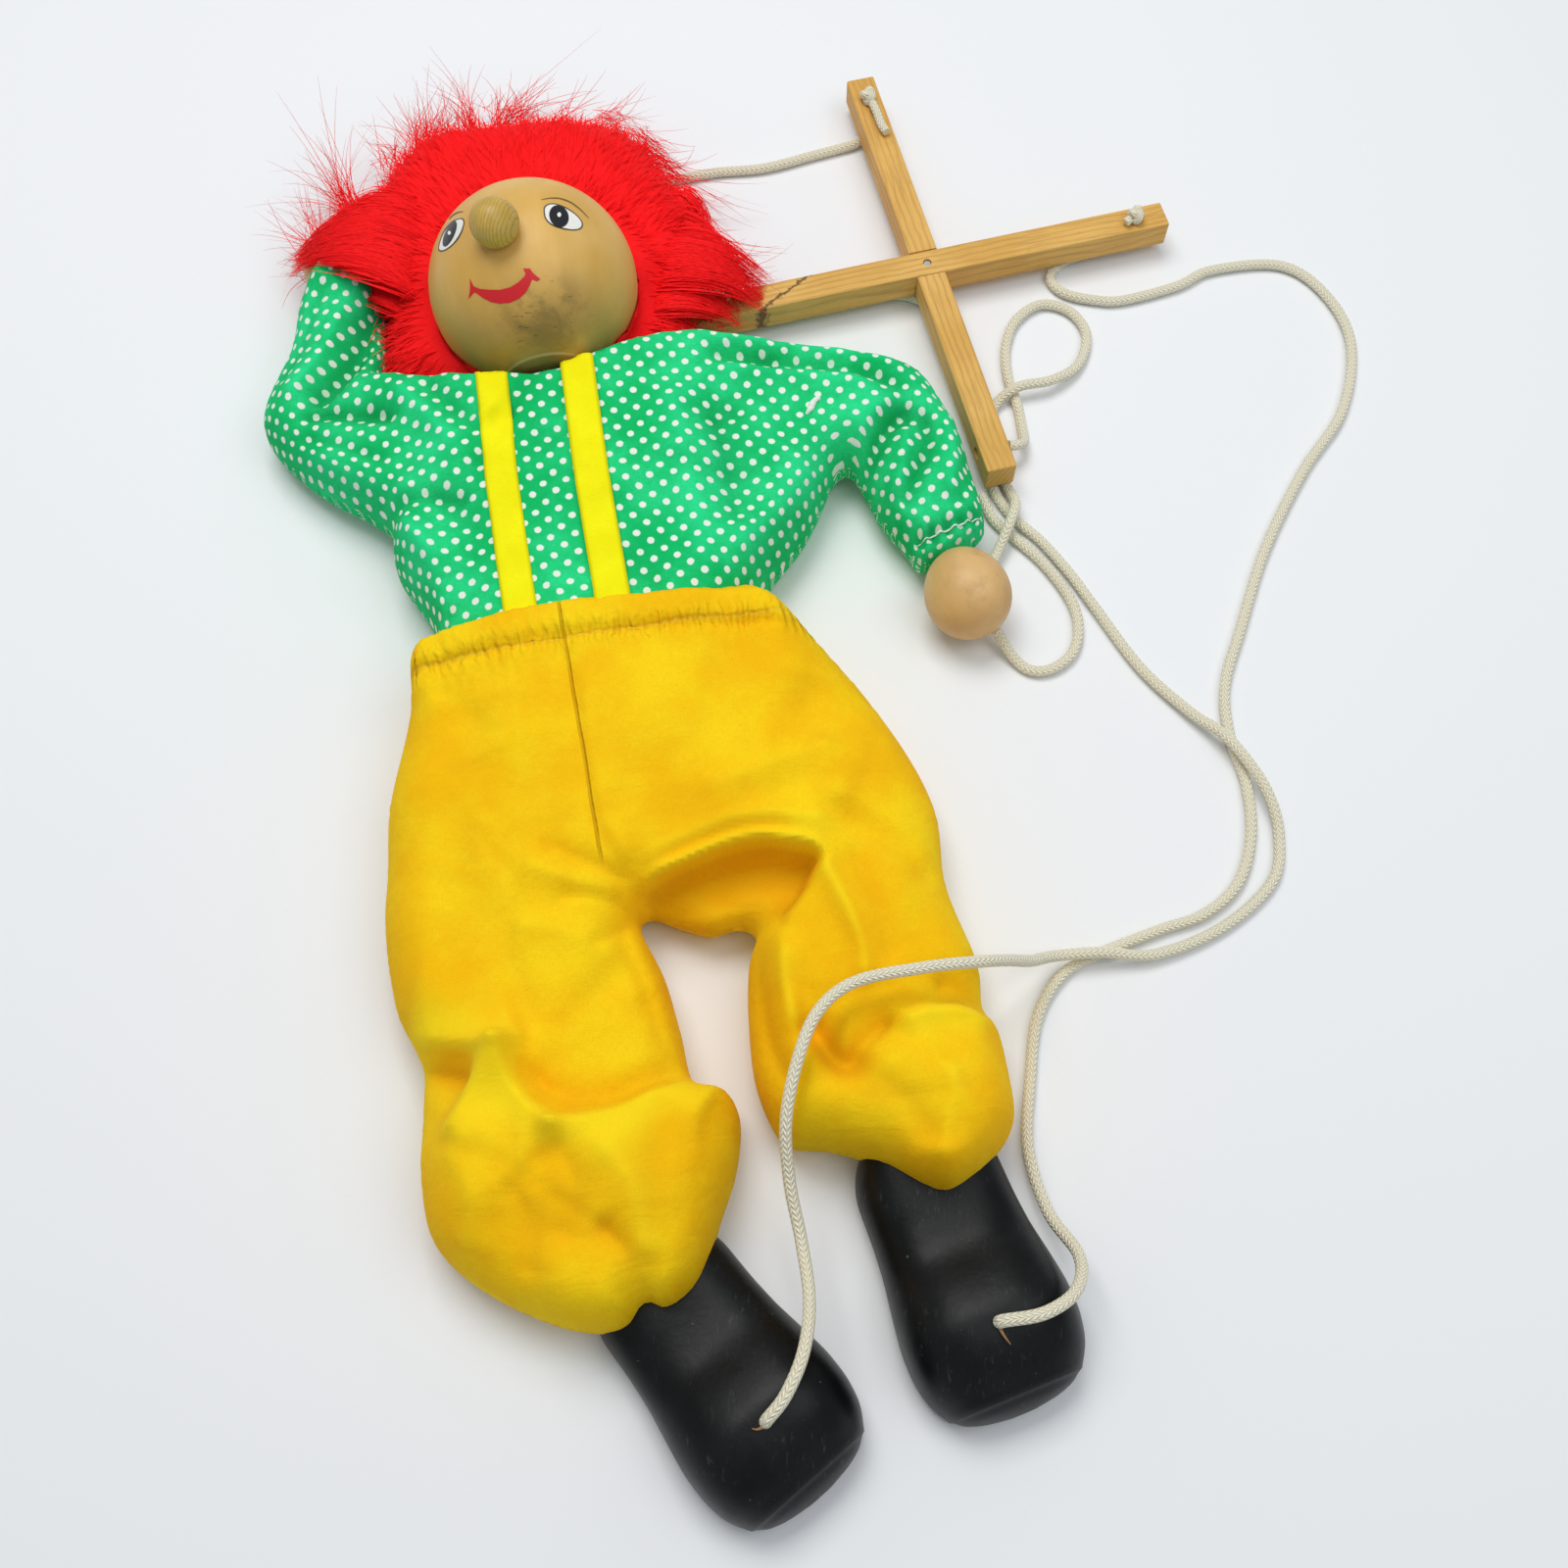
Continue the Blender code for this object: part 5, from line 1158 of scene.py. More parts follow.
def trousers():
    """Four pieces of one form: each leg, above and below the knee."""
    cloth = trouser_material()
    form = cloth_form(TROUSERS, TROUSER_FORM, TROUSER_FOLDS, TROUSER_EDGE, trouser_creases, CLOTH_STEP)
    middle = face_middles(form) / MM
    left = nearest_on(middle[:, :2], smooth_curve(LEG_PARTING, 3))[3] < 0
    for side, of_side in (("left", left), ("right", ~left)):
        knee = Vector(JOINTS[side + "_knee"]["pos_m"])
        reach = limb_ahead(side + "_knee") * KNEE_BEND
        over_knee = [knee - reach, knee + reach]
        below = past_line(middle, over_knee[0] / MM, over_knee[1] / MM) > 0
        thigh, shin = side + "_thigh", side + "_shin"
        upper = cloth_piece(side + "_trouser_upper", form, of_side & ~below, cloth)
        declare_cloth(upper, "trouser_cotton", TROUSER_CUTS["upper"], ["torso_block"],
                      "trousers_seat", "waistband", thigh + "_leg")
        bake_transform(upper)
        lower = cloth_piece(side + "_trouser_lower", form, of_side & below, cloth)
        declare_cloth(lower, "trouser_cotton", TROUSER_CUTS["lower"], [], shin + "_leg")
        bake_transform(lower)


def shirt_material():
    """Green cotton printed with white dots in staggered rows, with painted shade in the folds' hollows and
    painted highlight on their crests.
    """
    g = Graph("shirt_cotton")
    across, along, _ = g.split(g.uv())
    across = g.plus(across, g.sway(g.noise(g.uv(), 60.0, 2.0), 1.6 * MM))
    gaps = []
    for shift in (0.0, 0.5):
        x = g.sway(g.repeat(across, DOT_ACROSS, shift), DOT_ACROSS)
        y = g.sway(g.repeat(along, DOT_ALONG, shift), DOT_ALONG)
        gaps.append(g.math("SQRT", g.plus(g.times(x, x), g.times(y, y))))
    ragged = g.sway(g.noise(g.uv(), 2400.0, 2.0), 0.5 * MM)
    distance = g.plus(g.math("MINIMUM", *gaps), ragged)
    dots = g.step(distance, DOT_R - DOT_EDGE, DOT_R + DOT_EDGE, 1.0, 0.0)

    height, grain = cotton_weave(g)
    cloud = g.noise(g.uv(), 30.0, 4.0, 0.6)
    # Painted shade darkens the green and the dots in the hollows of folds and creases, and painted highlight
    # lightens the green on their crests.
    lift = g.attribute("lift")
    hollow_shade = g.step(lift, -5.0, 0.5, 0.6, 0.0)
    green = g.layers(
        (0.005, 0.52, 0.14),
        (cloud, 0.35, 0.7, 1.0, (0.03, 0.79, 0.30)),
        (grain, 0.7, 1.35, 0.35, (0.001, 0.40, 0.095)),
    )
    green = g.mix(hollow_shade, green, (0.002, 0.24, 0.055))
    green = g.layers(green, (lift, 0.5, 4.0, 0.45, (0.03, 0.86, 0.36)))
    white = g.layers((0.86, 0.90, 0.84), (grain, 0.7, 1.35, 0.30, (0.62, 0.78, 0.64)))
    white = g.mix(hollow_shade, white, (0.42, 0.66, 0.46))
    normal = creased_normal(g, height, (80.0, 150.0, 1.0))
    return g.finish(g.mix(dots, green, white), 0.9, normal, Specular_IOR_Level=0.12)


def shirt_creases(places):
    """Gathers either side of the cuff's drawn-in row of stitches, and small creases all over."""
    distance, share, _ = beside(places, CUFF_LINE, 1.0)
    size, rate = CUFF_WANDER
    wave = np.sin(FULL_TURN * CUFF_GATHERS * share + size * np.sin(rate * share))
    cuff = CUFF_HEIGHT * wave * np.exp(-distance / CUFF_REACH) - furrow(distance, *CUFF_GROOVE)
    return cuff + small_creases(places, *SMALL_CREASES["shirt"])


def bend_sleeve(item):
    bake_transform(item)


def shirt():
    """The sleeves, each in two pieces, and the body, all of one form."""
    cloth = shirt_material()
    form = cloth_form(SHIRT, SHIRT_FORM, SHIRT_FOLDS, SHIRT_EDGE, shirt_creases, CLOTH_STEP)
    middle = face_middles(form) / MM
    parts = {name: past_line(middle, start, end) > 0 for name, (_, _, start, end, _) in SLEEVES.items()}
    parts["right_lower"] &= middle[:, 0] > RIGHT_ARM_X
    parts["left_lower"] &= middle[:, 0] < LEFT_ARM_X
    for side in ("right", "left"):
        parts[side + "_upper"] &= ~parts[side + "_lower"]
    for name, keep in parts.items():
        item = cloth_piece(name + "_sleeve_cloth", form, keep, cloth)
        declare_cloth(item, "shirt_cotton", SLEEVES[name][-1], [], name + "_sleeve")
        bend_sleeve(item)
    body = cloth_piece("shirt_cloth", form, ~np.any(list(parts.values()), axis=0), cloth)
    declare_cloth(body, "shirt_cotton", SHIRT_LENGTH, ["torso_block"], "shirt_body")
    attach(body, "torso")
    return form


def shirt_threads(form):
    """The cuff's white sewing thread and the fluff, laid on the shirt."""
    g = Graph("white_thread")
    thread = g.finish(g.mix(g.noise(g.place(), 2400.0), (0.72, 0.80, 0.74), (0.90, 0.92, 0.88)), 0.8)
    for name, (points, thickness) in SHIRT_THREADS.items():
        line = smooth_curve(points, 0.6) * MM
        share = np.linspace(0, 1, len(line))
        radius = thickness * MM * (0.25 + 0.75 * np.sin(math.pi * share) ** 0.7)
        rise = form_height(form, line) + 0.25 * MM * np.sin(60 * share)
        path = np.column_stack([line, rise + 0.4 * radius])
        item = add_object(name, tube_mesh(name, path, radius, 10), thread)
        if name == "cuff_thread":
            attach(item, "right_forearm")
        else:
            bend_sleeve(item)


def tape_material():
    """Bright yellow tape: fine ribs across it and firm edges."""
    g = Graph("yellow_tape")
    across, along, _ = g.split(g.uv())
    weave = g.times(g.wave(along, TAPE_RIB), g.wave(across, TAPE_THREAD))
    slub = g.noise(g.uv(), (500.0, 2200.0, 1.0), 2.0)
    cloud = g.noise(g.uv(), 60.0)
    worn = (0.84, 0.72, 0.0)
    colour = g.layers(
        (0.92, 0.84, 0.002),
        (cloud, 0.35, 0.7, 1.0, (0.98, 0.93, 0.006)),
        (slub, 0.45, 0.75, 0.30, worn),
        (g.size(across), 3.9 * MM, 4.6 * MM, 0.35, worn),
    )
    normal = g.bump(g.plus(g.times(weave, 0.4), slub), 0.12 * MM, 0.6)
    return g.finish(colour, 0.85, normal, Specular_IOR_Level=0.15)


def suspenders(form):
    """Two tapes laid over the shirt's front, with rounded edges."""
    material = tape_material()
    shares = np.linspace(-1, 1, TAPE_COLUMNS)
    thinner, power = TAPE_EDGE
    crown = TAPE_THICKNESS * (1.0 - thinner * abs(shares) ** power)
    for name, points in TAPES.items():
        line = smooth_curve(points, 1.6) * MM
        ahead = headings(line)
        side = np.stack([ahead[:, 1], -ahead[:, 0]], axis=1)
        along = run_of(line)
        bm = bmesh.new()
        layer = bm.loops.layers.uv.new("UVMap")
        rows = []
        for place, across in zip(line, side):
            flat = place + shares[:, None] * across * TAPE_WIDTH / 2
            heights = form_height(form, flat)
            heights = np.maximum(heights, 0.5 * heights + 0.5 * heights.mean()) + TAPE_GAP
            rows.append([bm.verts.new((x, y, z)) for (x, y), z in zip(flat, heights + crown)])
        for row in range(len(rows) - 1):
            for column in range(TAPE_COLUMNS - 1):
                corners = ((row, column), (row + 1, column), (row + 1, column + 1), (row, column + 1))
                face = bm.faces.new([rows[r][c] for r, c in corners])
                for loop, (r, c) in zip(face.loops, corners):
                    loop[layer].uv = (shares[c] * TAPE_WIDTH / 2, along[r])
        bmesh.ops.recalc_face_normals(bm, faces=bm.faces)
        item = add_object(name + "_tape", finish_mesh(bm, name + "_tape"), material)
        solid = item.modifiers.new("thickness", "SOLIDIFY")
        solid.thickness = TAPE_THICKNESS
        solid.offset = -1.0
        settle(item, "tape", "torso", name)


def sight(pixel):
    """The camera's place, and the direction in which it sees a pixel of the photograph."""
    scale = SENSOR / LENS / PHOTO_SIZE
    half = PHOTO_SIZE / 2
    across = Vector(((pixel[0] - half) * scale, (half - pixel[1]) * scale, -1.0))
    return Vector(CAMERA_AT), (Matrix.Rotation(CAMERA_TILT, 3, "X") @ across).normalized()


def on_ball(pixel, rise=0.0):
    """Where the line of sight through a pixel meets the head."""
    eye, ahead = sight(pixel)
    offset = eye - HEAD_AT
    middle = -offset.dot(ahead)
    reach = (HEAD_R + rise) ** 2 - (offset + ahead * middle).length_squared
    return eye + ahead * (middle - math.sqrt(max(reach, 0.0)))


def turned_mesh(name, at, axis, radius, size, shape=Vector):
    """A ball of a radius, its points moved by a shape, and its pole then turned to an axis."""
    columns, rows = size
    bm = bmesh.new()
    bmesh.ops.create_uvsphere(bm, u_segments=columns, v_segments=rows, radius=radius)
    for vert in bm.verts:
        vert.co = shape(vert.co)
    turn = axis.to_track_quat("Z", "Y").to_matrix().to_4x4()
    bmesh.ops.transform(bm, matrix=Matrix.Translation(at) @ turn, verts=bm.verts)
    return finish_mesh(bm, name)


def grain_frame(g, at, axis):
    """A place in a frame whose third axis runs along the grain."""
    turn = axis.to_track_quat("Z", "Y").to_matrix()
    return g.join(*[g.along_axis(at, column) for column in turn.col])


def wood_base(g, at, axis, pale, deep, ring_pitch):
    """Colour and height of fine-grained wood whose grain runs along an axis."""
    grain = grain_frame(g, at, axis)
    fibre = g.noise(grain, (700.0, 700.0, 60.0), 4.0, 0.6)
    slow = g.noise(grain, (60.0, 60.0, 14.0), 3.0, 0.5, 0.4)
    across = g.along_axis(at, axis.orthogonal().normalized())
    ring = g.wave(g.plus(across, g.times(slow, 0.012)), ring_pitch)
    colour = g.layers(
        deep,
        (slow, 0.3, 0.72, 1.0, pale),
        (ring, -0.2, 1.0, 0.16, deep),
        (fibre, 0.48, 0.72, 0.25, deep),
    )
    return colour, fibre


def head_material():
    """Turned pale wood, waxed, with a grey-olive stain on the chin and a turned ring at the neck's seat."""
    g = Graph("head_wood")
    colour, fibre = wood_base(g, HEAD_AT, NECK_AXIS, (0.76, 0.47, 0.125), (0.64, 0.37, 0.080), WOOD_RINGS)
    blush = g.noise(g.place(), 42.0, 4.0, 0.6)
    worn = g.noise(g.place(), 90.0, 5.0, 0.65, 0.5)
    specks = g.noise(grain_frame(g, HEAD_AT, NECK_AXIS), (260.0, 260.0, 900.0), 3.0, 0.7)
    height = g.along_axis(HEAD_AT, NECK_AXIS)
    low = g.step(height, -0.031, -0.006, 1.0, 0.0)
    near = g.step(g.distance_from(on_ball(CHIN_STAIN)), 0.004, 0.019, 1.0, 0.0)
    ring_at = (on_ball(SEAT_RING) - HEAD_AT).dot(NECK_AXIS)
    off_ring = g.size(g.minus(height, ring_at))
    colour = g.layers(colour, (blush, 0.4, 0.75, 0.5, (0.76, 0.51, 0.19)))
    # The lower part of the head, towards the neck, is darker in blotches; near the chin it is stained and
    # specked.
    for share, tone in (
        (g.times(low, g.step(blush, 0.25, 0.65, 0.30, 0.85)), (0.34, 0.205, 0.045)),
        (g.times(near, g.step(worn, 0.40, 0.60, 0.0, 0.80)), (0.25, 0.165, 0.045)),
        (g.times(near, g.step(specks, 0.60, 0.70, 0.0, 0.75)), (0.07, 0.05, 0.022)),
        (g.step(height, ring_at - 0.4 * MM, ring_at, 0.55, 0.0), (0.20, 0.125, 0.04)),
        (g.step(off_ring, 0.10 * MM, 0.32 * MM, 0.75, 0.0), (0.62, 0.45, 0.22)),
    ):
        colour = g.mix(share, colour, tone)
    groove = g.step(off_ring, 0.0, 0.5 * MM)
    normal = g.bump(g.plus(g.times(fibre, 0.25), groove), 0.12 * MM, 0.5)
    return g.finish(colour, g.step(worn, 0.3, 0.7, 0.36, 0.52), normal, Specular_IOR_Level=0.4)


def nose_material():
    """A turned bead: fine lines of grain that cross its face."""
    g = Graph("nose_wood")
    across = Vector((0.93, -0.28, 0.0)).normalized()
    grain = grain_frame(g, HEAD_AT, across.cross(NOSE_AXIS).normalized())
    fibre = g.noise(grain, (900.0, 900.0, 90.0), 4.0, 0.6)
    slow = g.noise(g.place(), 140.0)
    lines = g.wave(g.plus(g.along_axis(HEAD_AT, across), g.times(slow, 0.0016)), NOSE_LINES)
    colour = g.layers(
        (0.50, 0.33, 0.055),
        (slow, 0.3, 0.7, 1.0, (0.62, 0.42, 0.095)),
        (lines, 0.1, 1.0, 0.42, (0.29, 0.16, 0.04)),
        (fibre, 0.5, 0.7, 0.35, (0.33, 0.19, 0.055)),
    )
    return g.finish(colour, 0.42, g.bump(fibre, 0.10 * MM, 0.35), Specular_IOR_Level=0.4)


def paint_material(name, colour, roughness):
    g = Graph(name)
    brush = g.noise(g.place(), 900.0)
    tone = g.layers(colour, (brush, 0.35, 0.7, 0.25, tuple(0.8 * value for value in colour)))
    return g.finish(tone, roughness, g.bump(brush, 0.05 * MM, 0.3))


def painted_patch(name, outline, rise, material, smooth=True):
    """A patch of paint on the head, its outline given in the photograph's pixels."""
    if smooth:
        outline = smooth_curve(outline, 0.8, closed=True)
    outline = np.array(outline, float)
    low, high = outline.min(axis=0), outline.max(axis=0)
    xs = np.arange(low[0], high[0], PAINT_STEP)
    ys = np.arange(low[1], high[1], PAINT_STEP)
    grid = np.array([(x, y) for x in xs for y in ys])
    grid = grid[inside(grid, outline)]
    gaps = nearest_on(grid, outline, closed=True)[0] if len(grid) else np.zeros(0)
    places, triangles = triangulated(outline, [grid[gaps > 0.7]], 1e-5)
    mesh = bpy.data.meshes.new(name)
    mesh.from_pydata([on_ball(place, rise) for place in places], [], triangles.tolist())
    mesh.update()
    if mesh.polygons[0].normal.dot(Vector(CAMERA_AT) - HEAD_AT) < 0:
        mesh.flip_normals()
    mesh.shade_smooth()
    settle(add_object(name, mesh, material), "wood", "head")


def stroke(points, width):
    """Outline of a brush stroke along points, thinner at its ends."""
    line = smooth_curve(points, 1.0)
    ahead = headings(line)
    side = np.stack([-ahead[:, 1], ahead[:, 0]], axis=1)
    share = np.linspace(0, 1, len(line))
    half = 0.5 * width * (BROW_TAPER + (1 - BROW_TAPER) * np.sin(math.pi * share))[:, None]
    return np.concatenate([line + half * side, (line - half * side)[::-1]])


def oval(middle, half_width, half_height, lean):
    turn = math.radians(lean)
    points = []
    for step in range(OVAL_STEPS):
        angle = FULL_TURN * step / OVAL_STEPS
        x, y = half_width * math.cos(angle), half_height * math.sin(angle)
        points.append((middle[0] + x * math.cos(turn) - y * math.sin(turn),
                       middle[1] + x * math.sin(turn) + y * math.cos(turn)))
    return points


def face_paint():
    """Mouth, and each eye's rim, white, pupil, glint and brow, one over the other."""
    white = paint_material("white_paint", (0.86, 0.85, 0.80), 0.35)
    black = paint_material("black_paint", (0.012, 0.013, 0.018), 0.28)
    grey = paint_material("grey_paint", (0.075, 0.065, 0.05), 0.5)
    brown = paint_material("brow_paint", (0.16, 0.085, 0.03), 0.5)
    red = paint_material("red_paint", (0.66, 0.012, 0.02), 0.38)
    painted_patch("mouth", MOUTH, PAINT_RISE, red, smooth=False)
    for side, outline in EYE_WHITES.items():
        outward = np.array(outline) - np.mean(outline, axis=0)
        rim = outline + OUTLINE_WIDTH * outward / np.linalg.norm(outward, axis=1, keepdims=True)
        glint, radius = GLINTS[side]
        painted_patch(side + "_eye_rim", rim, PAINT_RISE, grey)
        painted_patch(side + "_eye_white", outline, 2 * PAINT_RISE, white)
        painted_patch(side + "_pupil", oval(*PUPILS[side]), 3 * PAINT_RISE, black)
        painted_patch(side + "_glint", oval(glint, radius, 1.2 * radius, 0), 4 * PAINT_RISE, white)
        painted_patch(side + "_brow", stroke(BROWS[side], BROW_WIDTH), PAINT_RISE, brown, smooth=False)


def head():
    def seated(point):
        return Vector((point.x, point.y, max(point.z, -HEAD_SEAT)))

    ball = turned_mesh("head_turned", HEAD_AT, NECK_AXIS, HEAD_R, HEAD_MESH, seated)
    settle(add_object("head_turned", ball, head_material()), "wood", "head", "head_ball")
    bead = turned_mesh("nose_bead", HEAD_AT + NOSE_AXIS * NOSE_PROUD, NOSE_AXIS, NOSE_R, NOSE_MESH)
    settle(add_object("nose_bead", bead, nose_material()), "wood", "head", "nose")
    face_paint()


def fur_material():
    """Bright red pile. The wisps, which have a tint above one, are browner towards their tips."""
    g = Graph("red_fur")
    along, tint, _ = g.split(g.uv())
    colour = g.layers((1.0, 0.012, 0.015), (tint, 0.0, 1.0, 1.0, (0.93, 0.008, 0.010)))
    wisp = g.times(g.step(tint, 1.0, 1.01), g.step(along, 0.25, 0.95))
    colour = g.mix(g.times(wisp, 0.7), colour, (0.42, 0.035, 0.022))
    return g.finish(colour, 0.7, None, Specular_IOR_Level=0.1)


def pile_material():
    g = Graph("red_pile")
    pile = g.noise(g.place(), 320.0, 5.0, 0.7, 1.5)
    colour = g.layers((0.92, 0.008, 0.010), (pile, 0.3, 0.7, 1.0, (1.0, 0.012, 0.015)))
    return g.finish(colour, 0.8, g.bump(pile, 1.0 * MM, 0.35), Specular_IOR_Level=0.1)


def hair_ribbons(name, hairs, material):
    """Hairs as flat tapering ribbons that face upwards, each given by its points, a width and a tint."""
    points, faces, uvs = [], [], []
    for path, width, tint in hairs:
        path = np.array(path)
        upward = np.array((*RNG.normal(0, HAIR_TILT, 2), 1.0))
        side = np.cross(np.gradient(path, axis=0), upward)
        side /= np.maximum(np.linalg.norm(side, axis=1, keepdims=True), 1e-12)
        share = np.linspace(0, 1, len(path))
        half = 0.5 * width * (1 - HAIR_TAPER * share ** 2)[:, None]
        first = len(points)
        for left, right, s in zip(path - half * side, path + half * side, share):
            points += [left, right]
            uvs.append((s, tint))
        for a in range(first, len(points) - 2, 2):
            faces.append((a, a + 1, a + 3, a + 2))
    mesh = bpy.data.meshes.new(name)
    mesh.from_pydata(points, [], faces)
    layer = mesh.uv_layers.new(name="UVMap")
    corners = np.array(faces).ravel() // 2
    layer.data.foreach_set("uv", np.array(uvs)[corners].astype(np.float32).ravel())
    mesh.shade_smooth()
    return add_object(name, mesh, material)


def bend_hair(root, ahead, length, droop, curl, steps):
    """Points of one hair that leaves its root and sinks as it goes."""
    path = [root]
    ahead = ahead / np.linalg.norm(ahead)
    turn = RNG.normal(0, curl, 3)
    for _ in range(steps):
        ahead = ahead + turn / steps + np.array((0, 0, -droop / steps))
        ahead /= np.linalg.norm(ahead)
        place = path[-1] + ahead * length / steps
        place[2] = max(place[2], HAIR_FLOOR)
        path.append(place)
    return path


def pile_hairs(form):
    """Short hairs that lie outwards on the pile."""
    hairs = []
    head_at = np.array(HEAD_AT)
    points, normals = form["points"], form["normals"]
    gap = np.linalg.norm(points - head_at, axis=1)
    roots = np.flatnonzero((normals[:, 2] > -0.2) & (points[:, 2] > 6 * MM) & (gap > HEAD_R + 3 * MM))
    for index in RNG.choice(roots, PILE_HAIRS):
        outward = (points[index] - head_at) * (1.0, 1.0, 0.0)
        outward /= np.linalg.norm(outward)
        outward -= normals[index] * outward.dot(normals[index])
        ahead = outward + PILE_RAISE * normals[index] + RNG.normal(0, PILE_STRAY, 3)
        length = RNG.uniform(*PILE_HAIR) * MM
        path = bend_hair(points[index], ahead, length, *PILE_BEND, PILE_STEPS)
        hairs.append((path, HAIR_WIDTH, RNG.uniform()))
    return hairs


def lock_hairs():
    """Hairs of the thick locks, which lie in an arch from beginning to end and draw together there."""
    hairs = []
    for start, end, (wide, narrow), (low, middle, tip), count in LOCKS:
        start, end = np.array(start), np.array(end)
        ahead = (end - start) / np.linalg.norm(end - start)
        across = np.array((-ahead[1], ahead[0]))
        for _ in range(count):
            aside, depth = RNG.uniform(-1, 1), RNG.uniform(0, 1) ** 2
            reach = RNG.uniform(*LOCK_REACH)
            bow = RNG.normal(0, LOCK_BOW)
            path = []
            for t in np.linspace(RNG.uniform(0.0, 0.3), reach, LOCK_STEPS):
                spread = (wide * (1 - t) + narrow * t) * aside + bow * math.sin(math.pi * min(t, 1.0))
                height = low * (1 - t) * (1 - 2 * t) + middle * 4 * t * (1 - t) + tip * t * (2 * t - 1)
                height = max(height - depth * ROOT_DEPTH * (1 - 0.6 * t), 1.0)
                path.append(np.array((*(start + (end - start) * t + across * spread), height)) * MM)
            hairs.append((path, HAIR_WIDTH, RNG.uniform()))
    return hairs


def wisp_hairs():
    """Thin loose hairs that fan out from the pile's edge."""
    hairs = []
    for start, end, spread, height, count in WISPS:
        for _ in range(count):
            shift = np.append(RNG.normal(0, WISP_ROOTS, 2), RNG.uniform(*WISP_ROOT_HEIGHT))
            root = np.array((*start, 0.0)) + shift
            share = RNG.uniform(*WISP_REACH)
            tip = np.array((*end, height)) + np.append(RNG.normal(0, spread, 2), RNG.normal(0, WISP_RISE))
            length = np.linalg.norm(tip - root) * share * MM
            path = bend_hair(root * MM, tip - root, length, *WISP_BEND, LOCK_STEPS)
            hairs.append((path, WISP_WIDTH, RNG.uniform(*WISP_TINT)))
    return hairs


def wig():
    """A dense pile pressed back from the head, and the hairs on it."""
    def waves(places):
        return small_creases(places, *SMALL_CREASES["wig"])

    form = cloth_form(WIG, WIG_FORM, [], WIG_EDGE, waves, WIG_STEP)
    head_at = np.array(HEAD_AT)
    offset = form["points"] - head_at
    reach = np.linalg.norm(offset, axis=1, keepdims=True)
    clear = HEAD_R + HEAD_GAP
    form["points"] = np.where(reach < clear, head_at + offset / reach * clear, form["points"])
    middles = face_middles(form)
    gap = np.linalg.norm(middles - head_at, axis=1)
    keep = ~((gap < HEAD_R + 1.2 * MM) & (middles[:, 2] > HEAD_HEIGHT - 2 * MM))
    pile = cloth_piece("wig_pile", form, keep, pile_material())
    hair = hair_ribbons("wig_hair", pile_hairs(form) + lock_hairs() + wisp_hairs(), fur_material())
    for item in (pile, hair):
        settle(item, "fur", "head", "wig")


def smoothed(values, rounds):
    for _ in range(rounds):
        middle = 0.25 * values[:-2] + 0.5 * values[1:-1] + 0.25 * values[2:]
        values = np.concatenate([values[:1], middle, values[-1:]])
    return values


def shoe_material():
    """Black satin paint on wood: bluish where it catches the light, scuffed on the instep."""
    g = Graph("shoe_paint")
    wear = g.noise(g.place(), 60.0, 5.0, 0.65)
    scuff = g.noise(g.place(), (900.0, 190.0, 300.0), 4.0, 0.7)
    dust = g.noise(g.place(), 700.0, 2.0)
    brush = g.noise(g.place(), (420.0, 420.0, 140.0))
    mark = g.times(g.step(scuff, 0.56, 0.72), g.step(wear, 0.45, 0.62, 0.0, 0.6))
    colour = g.layers((0.0036, 0.0040, 0.0044), (wear, 0.35, 0.7, 1.0, (0.0065, 0.0075, 0.0085)))
    colour = g.mix(mark, colour, (0.055, 0.062, 0.062))
    colour = g.layers(colour, (dust, 0.72, 0.80, 0.5, (0.16, 0.15, 0.13)))
    roughness = g.step(wear, 0.3, 0.7, 0.34, 0.44)
    return g.finish(colour, roughness, g.bump(brush, 0.25 * MM, 0.30), Specular_IOR_Level=0.2)


def shoe_sections():
    """Places along a shoe from heel to toe, with the half width and the height at each."""
    places, widths, heights = np.array(SHOE_SECTIONS).T
    angles = [math.radians(HEEL_FROM + (90 - HEEL_FROM) * step / HEEL_STEPS) for step in range(HEEL_STEPS)]
    heel = [-HEEL_R * math.cos(angle) for angle in angles]
    along = np.concatenate([heel] + [np.linspace(*rings) for rings in SHOE_RINGS])
    round_heel = np.sqrt(np.maximum(HEEL_R ** 2 - along ** 2, 0.1))
    half = np.where(along < 0, round_heel, np.interp(along, places, widths))
    height = np.where(along < 0, heights[0], np.interp(along, places, heights))
    before_ankle = along > 0
    half[before_ankle] = smoothed(half[before_ankle], 3)
    height[before_ankle] = smoothed(height[before_ankle], 6)
    return zip(along, half, height)


def shoe(side, material):
    """A carved shoe: flat sole, rounded rim, narrow waist and domed instep over a blunt toe."""
    ankle = Vector(JOINTS[side + "_ankle"]["pos_m"])
    turn = Matrix.Translation((ankle.x, ankle.y, 0)) @ Matrix.Rotation(TOE_TURNS[side], 4, "Z")
    bm = bmesh.new()
    rings = []
    for at, wide, high in shoe_sections():
        ring = []
        for step in range(SHOE_ROWS):
            angle = math.pi * step / (SHOE_ROWS - 1)
            across = math.copysign(abs(math.cos(angle)) ** INSTEP[0], math.cos(angle))
            upward = math.sin(angle) ** INSTEP[1]
            ring.append((wide * across, at, SOLE_EDGE + (high - SOLE_EDGE) * upward))
        ring += [(-wide * share, at, low) for share, low in SOLE_RIM]
        ring += [(wide * share, at, low) for share, low in reversed(SOLE_RIM)]
        rings.append([bm.verts.new(turn @ (Vector(point) * MM)) for point in ring])
    for first, second in zip(rings, rings[1:]):
        for step in range(len(first)):
            after = (step + 1) % len(first)
            bm.faces.new((first[step], first[after], second[after], second[step]))
    bm.faces.new(rings[0])
    bm.faces.new(rings[-1])
    bmesh.ops.recalc_face_normals(bm, faces=bm.faces)
    name = side + "_shoe_carved"
    settle(add_object(name, finish_mesh(bm, name), material), "shoe_paint", side + "_foot", side + "_shoe")


